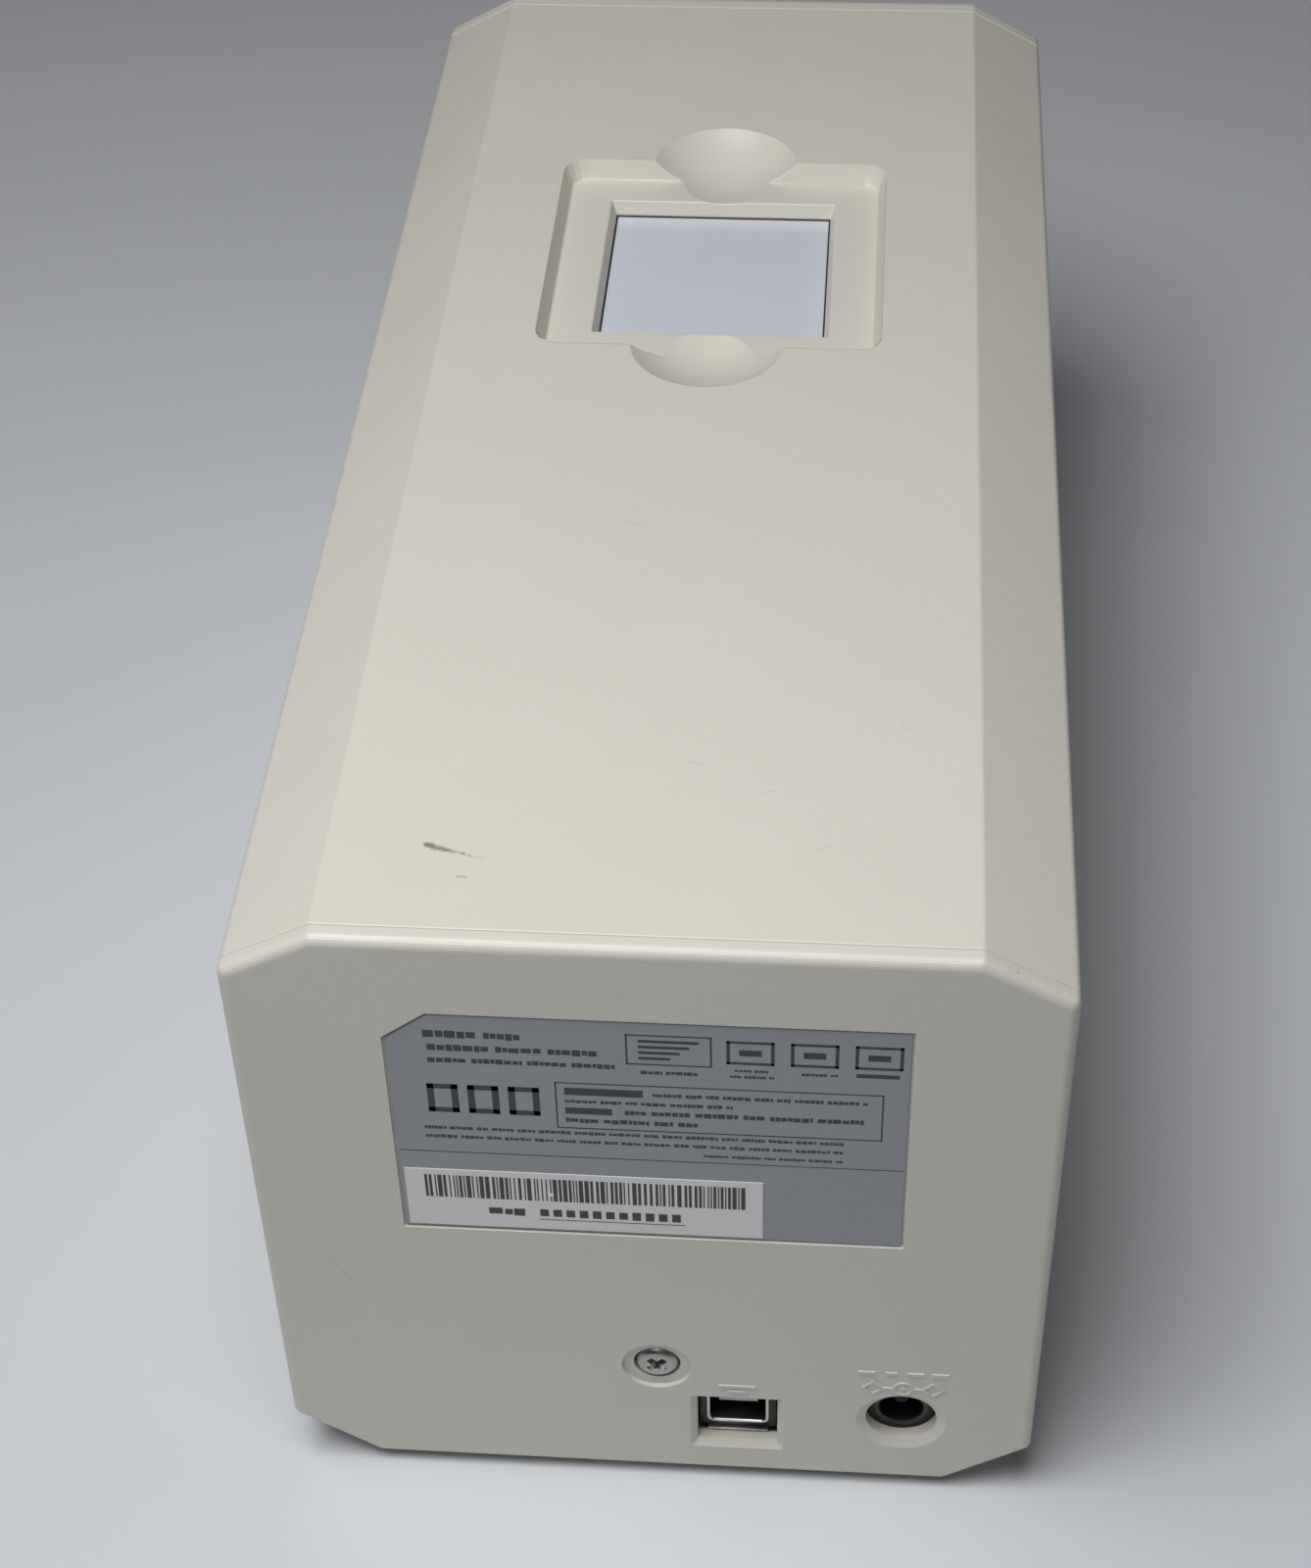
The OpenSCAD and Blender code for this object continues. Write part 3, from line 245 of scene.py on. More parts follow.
def paper(name, colour, rough=0.55, gloss=0.08):
    """Coated paper: a fibrous tooth, a little yellowing and soft ripples."""
    s = Shader(name, colour, rough, Coat_Weight=gloss, Coat_Roughness=0.3)
    fibre = s.noise(3200.0, 4.0, 0.7, s.stretch((0.5, 1.0, 1.6)))
    slow = s.noise(35.0, 3.0, 0.5)
    dark = tuple(c * 0.93 for c in colour)
    s.tone(s.math("MULTIPLY", s.math("ADD", fibre, slow), 0.5), dark, colour)
    s.gloss(slow, 0.3, 0.7, rough - 0.08, rough + 0.08)
    s.bump(s.math("ADD", s.math("MULTIPLY", slow, 2.0), s.math("MULTIPLY", fibre, 0.2)), 0.3, 0.0002)
    return s.material


def ink(name, colour, rough=0.45):
    """Printed ink, a little broken up over the grain of what it is printed on."""
    s = Shader(name, colour, rough)
    grain = s.noise(5200.0, 3.0, 0.7)
    s.tone(grain, tuple(c * 0.8 for c in colour), tuple(c * 1.25 for c in colour))
    s.gloss(grain, 0.3, 0.7, rough - 0.08, rough + 0.1)
    s.bump(grain, 0.1, 0.00002)
    return s.material


def opal():
    """The slide viewer's milky pane: a glossy skin over light-spreading plastic, with a few hairlines."""
    s = Shader("window_opal", (0.60, 0.64, 0.68), 0.22, Coat_Weight=0.35, Coat_Roughness=0.12)
    s.set("Subsurface Weight", 0.25)
    s.set("Subsurface Radius", (0.8, 0.9, 1.0))
    s.set("Subsurface Scale", 0.003)
    slow = s.noise(28.0, 3.0, 0.5)
    hairs = s.noise(1400.0, 3.0, 0.6)
    s.tone(slow, (0.655, 0.69, 0.765), (0.71, 0.745, 0.82))
    s.gloss(slow, 0.3, 0.7, 0.2, 0.3)
    s.bump(s.math("ADD", s.math("MULTIPLY", slow, 1.5), s.math("MULTIPLY", hairs, 0.03)), 0.12, 0.0001)
    return s.material


def clear(name, colour, rough=0.05, ior=1.49, frost=0.02):
    """Clear plastic or glass with a faint fingerprint haze."""
    s = Shader(name, colour, rough)
    s.set("Transmission Weight", 1.0)
    s.set("IOR", ior)
    haze = s.noise(160.0, 4.0, 0.6)
    s.gloss(haze, 0.35, 0.75, rough, rough + frost * 3)
    s.tone(haze, colour, tuple(c * 0.97 for c in colour))
    s.bump(haze, 0.05, 0.0001)
    return s.material


def board_green():
    """Solder resist over copper: tracks show as raised, lighter ways, with plated through holes."""
    s = Shader("board_green", (0.02, 0.11, 0.05), 0.34, Coat_Weight=0.3, Coat_Roughness=0.2)
    waves = s.math("FRACT", s.math("MULTIPLY", s.cells(230.0, "F2", "MANHATTAN"), 3.2))
    tracks = s.ramp(s.math("ABSOLUTE", s.math("SUBTRACT", waves, 0.5)), 0.13, 0.19, 1.0, 0.0)
    holes = s.ramp(s.cells(330.0), 0.07, 0.10, 1.0, 0.0)
    tone = s.mix(tracks, (0.012, 0.075, 0.035), (0.030, 0.150, 0.065))
    s.tone(holes, tone, (0.55, 0.53, 0.47))
    s.gloss(s.noise(90.0, 3.0, 0.6), 0.3, 0.7, 0.26, 0.44)
    s.bump(s.math("SUBTRACT", tracks, s.math("MULTIPLY", holes, 2.0)), 0.35, 0.00008)
    return s.material


def ribbon_film():
    """Flat flexible cable: white film with its row of tinned strips showing through as fine ridges."""
    s = Shader("ribbon_white", (0.72, 0.72, 0.70), 0.35, Coat_Weight=0.2, Coat_Roughness=0.2)
    across = s.tree.nodes.new("ShaderNodeSeparateXYZ")
    s.tree.links.new(s.coords, across.inputs["Vector"])
    saw = s.math("FRACT", s.math("MULTIPLY", across.outputs["X"], 1600.0))
    strips = s.ramp(s.math("ABSOLUTE", s.math("SUBTRACT", saw, 0.5)), 0.2, 0.3, 1.0, 0.0)
    s.tone(strips, (0.74, 0.74, 0.71), (0.50, 0.51, 0.52))
    s.gloss(s.noise(140.0, 3.0, 0.6), 0.3, 0.7, 0.28, 0.42)
    s.bump(strips, 0.4, 0.00006)
    return s.material


def lamp_glass():
    """Phosphor-coated lamp glass: a powdery white coat behind a glossy skin."""
    s = Shader("lamp_glass", (0.86, 0.87, 0.86), 0.12, Coat_Weight=0.6, Coat_Roughness=0.05)
    powder = s.noise(1500.0, 4.0, 0.7)
    s.tone(powder, (0.80, 0.81, 0.79), (0.90, 0.91, 0.90))
    s.gloss(powder, 0.3, 0.7, 0.08, 0.2)
    s.bump(powder, 0.06, 0.00004)
    return s.material


def build_materials():
    """Every finish of the scanner, by the name of its material slot."""
    return {
        "case_ivory": case_ivory(),
        "label_grey": label_film(),
        "sticker_white": paper("sticker_white", (0.89, 0.88, 0.865)),
        "window_opal": opal(),
        "black_plastic": plastic("black_plastic", (0.018, 0.018, 0.020), 0.42, tint=0.2).material,
        "grey_plastic": plastic("grey_plastic", (0.34, 0.35, 0.36), 0.48, tint=0.06).material,
        "button_grey": plastic("button_grey", (0.40, 0.42, 0.44), 0.38, grain=0.15, tint=0.05).material,
        "button_blue": plastic("button_blue", (0.07, 0.16, 0.36), 0.33, grain=0.12, tint=0.08).material,
        "white_plastic": plastic("white_plastic", (0.75, 0.75, 0.73), 0.45, grain=0.2).material,
        "natural_plastic": plastic("natural_plastic", (0.66, 0.62, 0.52), 0.4, grain=0.15).material,
        "clear_plastic": clear("clear_plastic", (0.93, 0.95, 0.95), 0.08, 1.49, 0.05),
        "lens_glass": clear("lens_glass", (0.93, 0.96, 0.97), 0.01, 1.62, 0.005),
        "mirror_front": metal("mirror_front", (0.92, 0.93, 0.94), 0.03, depth=0.01).material,
        "rubber_dark": plastic("rubber_dark", (0.022, 0.022, 0.022), 0.75, 0.5, 1500.0).material,
        "steel_screw": metal("steel_screw", (0.44, 0.43, 0.41), 0.34, (1.0, 1.0, 1.0), 900.0, 0.3).material,
        "steel_ground": metal("steel_ground", (0.66, 0.66, 0.65), 0.16, (40.0, 1.0, 40.0)).material,
        "steel_sheet": metal("steel_sheet", (0.56, 0.57, 0.57), 0.33, (30.0, 2.0, 30.0), 220.0).material,
        "connector_metal": metal("connector_metal", (0.66, 0.65, 0.62), 0.28, (1, 20, 1), 500.0).material,
        "brass": metal("brass", (0.72, 0.52, 0.24), 0.28, (20.0, 1.0, 20.0), 400.0).material,
        "board_green": board_green(),
        "ribbon_white": ribbon_film(),
        "lamp_glass": lamp_glass(),
        "socket_dark": plastic("socket_dark", (0.010, 0.010, 0.010), 0.6, grain=0.2, tint=0.2).material,
        "ink_dark": ink("ink_dark", (0.035, 0.040, 0.045)),
        "ink_pale": ink("ink_pale", (0.62, 0.66, 0.68)),
        "wire_black": plastic("wire_black", (0.02, 0.02, 0.02), 0.4, grain=0.1).material,
        "wire_red": plastic("wire_red", (0.35, 0.02, 0.02), 0.4, grain=0.1).material,
        "copper": metal("copper", (0.75, 0.36, 0.20), 0.25, (1.0, 1.0, 30.0), 700.0).material,
    }


mats = build_materials()


# ---------- the CAD nodes' finishes ----------

BEVELS_MM = {
    "top_shell": 0.2,
    "base_shell": 0.35,
    "rear_panel": 0.3,
    "front_bezel": 0.3,
}


def dress_nodes():
    """Each CAD node keeps its shape and takes its slot's material, with its hard edges softened."""
    for name, item in nodes.items():
        finish = mats[item.data.materials[0].name.split(".")[0]]
        for i in range(len(item.data.materials)):
            item.data.materials[i] = finish
        weld = item.modifiers.new("join_edges", "WELD")
        weld.merge_threshold = 0.000002
        flat = item.modifiers.new("plain_faces", "DECIMATE")
        flat.decimate_type = "DISSOLVE"
        flat.angle_limit = math.radians(0.6)
        flat.delimit = {"SHARP"}
        bevel = item.modifiers.new("soft_edges", "BEVEL")
        bevel.width = BEVELS_MM.get(name, 0.15) * MM
        bevel.segments = 2
        bevel.limit_method = "ANGLE"
        bevel.angle_limit = math.radians(60 if name == "top_shell" else 32)
        bevel.use_clamp_overlap = name != "top_shell"
        shade = item.modifiers.new("even_shading", "WEIGHTED_NORMAL")
        shade.keep_sharp = True


dress_nodes()


# ---------- building small pieces ----------


def turn_to(direction):
    """The rotation that takes +Z to a direction."""
    return Vector(direction).to_track_quat("Z", "Y").to_matrix()


class Piece:
    """One mesh built from soft-edged blocks, turned profiles and tubes, in millimetres of the row frame."""

    def __init__(self, name):
        self.name = name
        self.work = bmesh.new()

    def block(self, low, high, soft=0.0):
        size = [b - a for a, b in zip(low, high)]
        middle = [(a + b) / 2 for a, b in zip(low, high)]
        matrix = Matrix.Translation(middle) @ Matrix.Diagonal((*size, 1.0))
        made = bmesh.ops.create_cube(self.work, size=1.0, matrix=matrix)
        if soft:
            edges = list({edge for vert in made["verts"] for edge in vert.link_edges})
            bmesh.ops.bevel(self.work, geom=edges, offset=soft, segments=2, affect="EDGES", profile=0.5)
        return self

    def turned(self, profile, foot, direction=(0, 0, 1), steps=40):
        """A closed or open (radius, height) profile turned about an axis that starts at foot."""
        matrix = Matrix.Translation(foot) @ turn_to(direction).to_4x4()
        rings = []
        for radius, height in profile:
            if radius < 1e-6:
                rings.append([self.work.verts.new(matrix @ Vector((0, 0, height)))])
                continue
            ring = []
            for i in range(steps):
                angle = 2 * math.pi * i / steps
                place = Vector((radius * math.cos(angle), radius * math.sin(angle), height))
                ring.append(self.work.verts.new(matrix @ place))
            rings.append(ring)
        for a, b in zip(rings, rings[1:]):
            self.join(a, b, True)
        return self

    def join(self, a, b, closed):
        """Faces between two rings, either of which may be a single point."""
        count = max(len(a), len(b))
        for i in range(count if closed else count - 1):
            k = (i + 1) % count
            corners = [a[i % len(a)], a[k % len(a)], b[k % len(b)], b[i % len(b)]]
            corners = list(dict.fromkeys(corners))
            if len(corners) > 2:
                self.work.faces.new(corners)

    def tube(self, points, radius, sides=8):
        """A round wire along a run of points, with flat ends."""
        points = [Vector(point) for point in points]
        normal = None
        rings = []
        for i, point in enumerate(points):
            ahead = (points[min(i + 1, len(points) - 1)] - points[max(i - 1, 0)]).normalized()
            if normal is None:
                normal = ahead.orthogonal().normalized()
            normal = (normal - ahead * normal.dot(ahead)).normalized()
            side = ahead.cross(normal)
            ring = []
            for k in range(sides):
                angle = 2 * math.pi * k / sides
                out = normal * math.cos(angle) + side * math.sin(angle)
                ring.append(self.work.verts.new(point + out * radius))
            rings.append(ring)
        for a, b in zip(rings, rings[1:]):
            self.join(a, b, True)
        self.work.faces.new(rings[0])
        self.work.faces.new(rings[-1])
        return self

    def sheet(self, corners, direction, thick):
        """A flat outline given its thickness along a direction."""
        lift = Vector(direction) * thick
        near = [self.work.verts.new(Vector(corner)) for corner in corners]
        far = [self.work.verts.new(Vector(corner) + lift) for corner in corners]
        self.join(near, far, True)
        self.work.faces.new(near)
        self.work.faces.new(far)
        return self

    def stamp(self, mesh, matrix):
        """A copy of a ready mesh, placed by a matrix."""
        first = len(self.work.verts)
        self.work.from_mesh(mesh)
        self.work.verts.ensure_lookup_table()
        for vert in self.work.verts[first:]:
            vert.co = matrix @ vert.co
        return self

    def mesh(self, smooth=35.0, scale=MM):
        made = bpy.data.meshes.new(self.name)
        bmesh.ops.recalc_face_normals(self.work, faces=self.work.faces)
        bmesh.ops.scale(self.work, vec=(scale, scale, scale), verts=self.work.verts)
        self.work.to_mesh(made)
        self.work.free()
        for face in made.polygons:
            face.use_smooth = True
        made.set_sharp_from_angle(angle=math.radians(smooth))
        return made

    def put(self, slot, body="case", replaces=(), material=None, smooth=35.0):
        """Makes the object, gives it its finish and its body, and hides the CAD nodes it stands for."""
        item = bpy.data.objects.new(self.name, self.mesh(smooth))
        scene.collection.objects.link(item)
        item.data.materials.append(mats[material or slot])
        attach(item, body)
        if replaces:
            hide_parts(*replaces)
        return item


def node_box(name):
    """A node's lowest and highest corners in millimetres."""
    low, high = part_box(name)
    return Vector(low) / MM, Vector(high) / MM


def carve(solid, cutters):
    """The mesh left when other meshes are cut out of one."""
    block = bpy.data.objects.new("carve_solid", solid)
    scene.collection.objects.link(block)
    tools = []
    for cutter in cutters:
        tool = bpy.data.objects.new("carve_tool", cutter)
        scene.collection.objects.link(tool)
        cut = block.modifiers.new("cut", "BOOLEAN")
        cut.operation = "DIFFERENCE"
        cut.object = tool
        tools.append(tool)
    bpy.context.view_layer.update()
    made = bpy.data.meshes.new_from_object(block.evaluated_get(bpy.context.evaluated_depsgraph_get()))
    for item in [block, *tools]:
        bpy.data.objects.remove(item)
    return made


# ---------- screws ----------


def cross_screw(head_r, head_h, shank_r, length):
    """A pan-head screw along +Z, its head up from z = 0, with a cross recess and a rolled thread."""
    head = [(0, -length), (shank_r * 0.5, -length + 0.1), (shank_r * 0.92, -length + 0.9)]
    turns = int((length - 1.2) / 0.5)
    for i in range(turns):
        z = -length + 1.0 + i * 0.5
        head += [(shank_r * 0.82, z), (shank_r, z + 0.2), (shank_r * 0.82, z + 0.38)]
    head += [(shank_r * 0.82, 0), (head_r * 0.97, 0), (head_r, head_h * 0.12), (head_r, head_h * 0.45)]
    for i in range(1, 7):
        angle = math.pi / 2 * i / 7
        head.append((head_r * (0.62 + 0.38 * math.cos(angle)), head_h * (0.45 + 0.55 * math.sin(angle))))
    head.append((0, head_h))
    solid = Piece("screw_solid").turned(head, (0, 0, 0), steps=32).mesh(scale=1.0)
    reach = head_r * 0.56
    wide = head_r * 0.17
    slots = []
    for turned in (False, True):
        cross = Piece("screw_cross")
        rows = []
        for z, r, w in ((head_h * 0.2, reach * 0.35, wide * 0.7), (head_h * 1.3, reach * 1.15, wide * 1.1)):
            corners = [(-r, -w), (r, -w), (r, w), (-r, w)]
            rows.append([cross.work.verts.new((y, x, z) if turned else (x, y, z)) for x, y in corners])
        cross.join(rows[0], rows[1], True)
        cross.work.faces.new(rows[0])
        cross.work.faces.new(rows[1])
        slots.append(cross.mesh(scale=1.0))
    return carve(solid, slots)


def put_screws(name, node, places, size, first_turn=math.pi / 4):
    """Screws at (foot, direction) places, standing for one CAD node."""
    template = cross_screw(*size)
    made = Piece(name)
    for i, (foot, direction) in enumerate(places):
        spin = Matrix.Rotation(first_turn + 0.6 * i, 4, "Z")
        made.stamp(template, Matrix.Translation(foot) @ turn_to(direction).to_4x4() @ spin)
    return made.put("steel_screw", replaces=(node,) if node else ())


def screws():
    low, high = node_box("rear_screw")
    places = [((0, high.y - 1.9, (low.z + high.z) / 2), (0, 1, 0))]
    put_screws("rear_screw_cross", "rear_screw", places, (3.05, 1.9, 1.45, 9))
    low, high = node_box("case_screws")
    corners = [(x, y) for x in (low.x + 2.8, high.x - 2.8) for y in (low.y + 2.8, high.y - 2.8)]
    places = [((x, y, low.z + 1.8), (0, 0, -1)) for x, y in corners]
    put_screws("case_screws_cross", "case_screws", places, (2.8, 1.8, 1.4, 24))
    low, high = node_box("film_guide_screws")
    corners = [(x, y) for x in (low.x + 1.6, high.x - 1.6) for y in (low.y + 1.6, high.y - 1.6)]
    places = [((x, y, high.z - 1.2), (0, 0, 1)) for x, y in corners]
    put_screws("film_guide_screws_cross", "film_guide_screws", places, (1.6, 1.2, 0.75, 9))


# ---------- label and sticker print ----------


def bar(piece, x, z, width, height, y, thick=0.012):
    """A printed bar whose left end, as read from behind the scanner, is at x."""
    piece.block((x - width, y, z - height / 2), (x, y + thick, z + height / 2))


def line_of_print(piece, dice, x, z, length, height, y):
    """A row of short bars, broken up as words are, with no letters in it."""
    at = x
    while x - at < length - height:
        word = min(dice.uniform(2.2, 6.5) * height, length - (x - at))
        while word > height * 0.4:
            stroke = min(dice.uniform(0.55, 1.25) * height, word)
            middle = z + dice.uniform(-0.06, 0.06) * height
            bar(piece, at, middle, stroke * 0.86, height * dice.uniform(0.62, 0.9), y)
            at -= stroke
            word -= stroke
        at -= height * 0.55


def frame_lines(piece, x, z, width, height, line, y):
    """A rectangle drawn as four thin lines, from its upper left corner."""
    bar(piece, x, z - line / 2, width, line, y)
    bar(piece, x, z - height + line / 2, width, line, y)
    bar(piece, x, z - height / 2, line, height, y)
    bar(piece, x - width + line, z - height / 2, line, height, y)


def label_print():
    """Plain rows of dashes and boxes in place of the maker's text and marks."""
    high = node_box("rating_label")[1]
    dice = random.Random(35)
    made = Piece("label_print")
    left, top, y = high.x, high.z, high.y
    rows = (
        (5.0, 3.6, 12.5, 1.5),
        (5.4, 6.1, 22.0, 1.3),
        (5.3, 8.4, 24.0, 1.0),
        (22.4, 15.3, 21.5, 0.75),
        (30.0, 17.1, 31.0, 1.0),
        (22.4, 19.0, 17.0, 1.0),
        (4.0, 21.5, 54.0, 0.7),
        (4.0, 23.2, 54.0, 0.7),
        (40.0, 25.0, 18.0, 0.6),
        (32.2, 9.2, 7.6, 0.75),
        (44.0, 8.2, 4.4, 0.55),
        (43.4, 9.3, 5.6, 0.55),
        (52.4, 8.4, 4.6, 0.6),
        (33.6, 13.5, 27.5, 0.75),
    )
    for across, down, length, height in rows:
        line_of_print(made, dice, left - across, top - down, length, height, y)
    bar(made, left - 22.4, top - 13.4, 10.0, 1.35, y)
    bar(made, left - 22.4, top - 17.1, 6.0, 1.2, y)
    frame_lines(made, left - 21.2, top - 11.7, 41.6, 8.9, 0.22, y)
    frame_lines(made, left - 30.4, top - 2.2, 10.8, 5.6, 0.25, y)
    for i in range(4):
        bar(made, left - 32.0, top - 3.4 - i * 1.05, 7.6 - i * 1.2, 0.5, y)
    for i in range(3):
        frame_lines(made, left - 4.8 - i * 5.2, top - 13.0, 4.0, 5.4, 0.9, y)
    for i in range(3):
        frame_lines(made, left - 43.0 - i * 8.0, top - 2.7, 6.0, 4.3, 0.45, y)
        bar(made, left - 44.6 - i * 8.0, top - 4.85, 2.8, 1.1, y)
    bar(made, left - 59.2, top - 8.2, 5.4, 0.7, y)
    bar(made, left - 0.3, top - 26.3, 65.4, 0.16, y)
    made.put("label_grey", material="ink_dark")


def sticker_print():
    """A generic stripe code with a dashed line below it."""
    low, high = node_box("serial_sticker")
    dice = random.Random(7)
    made = Piece("sticker_print")
    left, top, y = high.x, high.z, high.y
    at = left - 2.6
    while at > low.x + 2.4:
        stripe = dice.choice((0.19, 0.19, 0.38, 0.38, 0.57))
        bar(made, at, top - 3.4, stripe, 4.5, y)
        at -= stripe + dice.choice((0.19, 0.19, 0.38))
    line_of_print(made, dice, left - 10.8, top - 8.1, 5.6, 1.7, y)
    for i in range(11):
        bar(made, left - 17.6 - i * 1.75, top - 8.1, 1.15, 1.7 * dice.uniform(0.8, 1.0), y)
    bar(made, left - 17.4, top - 9.5, 19.4, 0.14, y)
    made.put("sticker_white", material="ink_dark")
    dent = Piece("sticker_dent")
    dome = [(0.42, 0.0), (0.36, 0.05), (0.2, 0.09), (0, 0.1)]
    dent.turned(dome, (left - 19.2, y, top - 4.4), (0, 1, 0), 20)
    dent.put("sticker_white")


# ---------- sockets ----------


def usb_socket():
    """The square data socket: dark moulding in a folded metal shell whose lips catch the light."""
    low, high = node_box("usb_shell")
    middle = (low.x + high.x) / 2
    face = high.y
    hole_low, hole_high = high.z - 8.24, high.z - 0.46
    half = 4.22
    shell = Piece("usb_socket_shell")
    wall = 0.32
    shell.block((low.x, low.y, low.z), (low.x + wall, face - 0.05, high.z), 0.08)
    shell.block((high.x - wall, low.y, low.z), (high.x, face - 0.05, high.z), 0.08)
    shell.block((low.x, low.y, high.z - wall), (high.x, face - 0.05, high.z), 0.08)
    shell.block((low.x, low.y, low.z), (high.x, low.y + wall, high.z), 0.08)
    shell.block((middle - 4.3, face - 0.7, low.z + 0.75), (middle + 4.3, face + 0.35, low.z + 1.05), 0.1)
    corner = 0.9
    lip = [(middle - half, hole_high - 1.6)]
    for centre, first in ((middle - half + corner, math.pi), (middle + half - corner, 1.5 * math.pi)):
        for i in range(7):
            angle = first + math.pi / 2 * i / 6
            lip.append((centre + corner * math.cos(angle), hole_low + corner * (1 + math.sin(angle))))
    lip.append((middle + half, hole_high - 1.6))
    lip += [(middle + side * (half - 1.6), hole_high) for side in (1, -1)]
    lip.append(lip[0])
    shell.tube([(x, face - 0.02, z) for x, z in lip], 0.3, 10)
    for z in (low.z + 3.4, low.z + 7.6):
        for x in (low.x - 0.02, high.x - 0.14):
            shell.block((x, face - 9.0, z - 0.6), (x + 0.16, face - 4.0, z + 0.6), 0.06)
    shell.put("connector_metal", replaces=("usb_shell",))
    core = Piece("usb_socket_core")
    inner = face - 0.35
    core.block((low.x + 0.5, face - 12, low.z + 1.0), (middle - half, inner, high.z - 0.5), 0.1)
    core.block((middle + half, face - 12, low.z + 1.0), (high.x - 0.5, inner, high.z - 0.5), 0.1)
    core.block((middle - half, face - 12, low.z + 1.0), (middle + half, inner, hole_low), 0.1)
    core.block((middle - half, face - 12.5, low.z + 1.0), (middle + half, face - 11, high.z - 0.5), 0.1)
    core.put("black_plastic")
    tongue_low, tongue_high = node_box("usb_tongue")
    pads = Piece("usb_contacts")
    tip = tongue_high.y - 0.9
    roll = [(0, 0), (0.14, 0.05), (0.14, 0.8), (0, 0.84)]
    for x in (middle - 1.25, middle + 1.25):
        for z in (tongue_low.z + 0.1, tongue_high.z - 0.1):
            pads.block((x - 0.42, tongue_low.y, z - 0.14), (x + 0.42, tip, z + 0.14), 0.05)
            pads.turned(roll, (x - 0.4, tip, z), (1, 0, 0), 12)
    pads.put("connector_metal")


def dc_socket():
    """Inside the round power socket: the sprung outer contact, and solder tags under the body."""
    low, high = node_box("dc_jack")
    x = (low.x + high.x) / 2
    z = high.z - 4.6
    leaf = Piece("dc_contact_leaf")
    leaf.block((x - 0.9, high.y - 9.4, z + 2.72), (x + 0.9, high.y - 1.6, z + 2.9), 0.05)
    bend = [(0, 0), (0.32, 0.06), (0.32, 1.74), (0, 1.8)]
    leaf.turned(bend, (x - 0.9, high.y - 3.2, z + 2.62), (1, 0, 0), 14)
    for y in (high.y - 12.5, high.y - 6.0):
        leaf.block((x - 4.9, y, low.z - 1.9), (x - 4.65, y + 1.6, z), 0.05)
        leaf.block((x + 4.65, y, low.z - 1.9), (x + 4.9, y + 1.6, z), 0.05)
    leaf.put("connector_metal")
    ring = Piece("dc_socket_ring")
    rim = [(3.2, -0.3), (3.2, -0.02), (3.42, 0.1), (3.9, 0.1), (4.1, -0.02), (4.1, -0.3)]
    ring.turned(rim, (x, high.y, z), (0, 1, 0), 40)
    ring.put("black_plastic")
    # Both take the near-black matte finish: painted shade on the metal centre pin, so the socket's hole
    # reads dark, and on the jack body partly its own black, partly painted shade.
    for name in ("dc_jack", "dc_center_pin"):
        nodes[name].data.materials[0] = mats["socket_dark"]


def window_shadow_line():
    """A thin near-black frame round the edge of the viewer's pane: painted shade standing in for the shadow
    line in the gap between the pane and its opening.
    """
    low, high = node_box("viewer_window")
    middle = (low.y + high.y) / 2
    made = Piece("window_shadow_line")
    half_x, half_y, z = 17.6, 18.2, high.z
    wide, tuck, thick = 0.28, 0.1, 0.08
    for side in (-1, 1):
        a, b = sorted((middle + side * (half_y - wide), middle + side * (half_y + tuck)))
        made.block((-half_x - tuck, a, z), (half_x + tuck, b, z + thick), 0.03)
        a, b = sorted((side * (half_x - wide), side * (half_x + tuck)))
        made.block((a, middle - half_y, z), (b, middle + half_y, z + thick), 0.03)
    # The dark rubber finish is used here as painted shade along the pane's edge.
    made.put("black_plastic", material="rubber_dark")


# ---------- film slot, viewer and controls ----------


def flap_springs():
    """The wound springs that push each slot flap shut, one leg on the flap and one on its frame."""
    low, high = node_box("flap_springs")
    made = Piece("flap_springs_wound")
    z = (low.z + high.z) / 2
    turns = 7
    for side in (-1, 1):
        x = side * (high.x - 1.1)
        points = [(x - side * 0.9, low.y + 0.4, z + 0.95)]
        for i in range(turns * 20 + 1):
            angle = 2 * math.pi * i / 20
            y = low.y + 0.4 + (high.y - low.y - 0.8) * i / (turns * 20)
            points.append((x + 0.9 * math.sin(angle), y, z + 0.9 * math.cos(angle)))
        points.append((x - side * 0.9, high.y - 0.4, z + 0.95))
        made.tube(points, 0.2, 8)
    made.put("steel_sheet", replaces=("flap_springs",))


def slot_trim():
    """Two fine pale ribs and a small arrow mark at each end of the mouth of each film slot."""
    for name, side in (("slot_frame_left", -1), ("slot_frame_right", 1)):
        low, high = node_box(name)
        face = high.x if side > 0 else low.x
        trim = Piece(name + "_ribs")
        middle = (low.z + high.z) / 2
        for z in (low.z + 1.5, high.z - 1.5):
            trim.block((face - 0.04, low.y + 4, z - 0.25), (face + 0.08, high.y - 4, z + 0.25), 0.03)
        for end in (low.y + 1.6, high.y - 1.6):
            arrow = [(face - 0.02, end + y, middle + z) for y, z in ((-0.7, -0.7), (-0.7, 0.7), (0.7, 0))]
            trim.sheet(arrow, (side, 0, 0), 0.08)
        trim.put("grey_plastic", material="ink_pale")


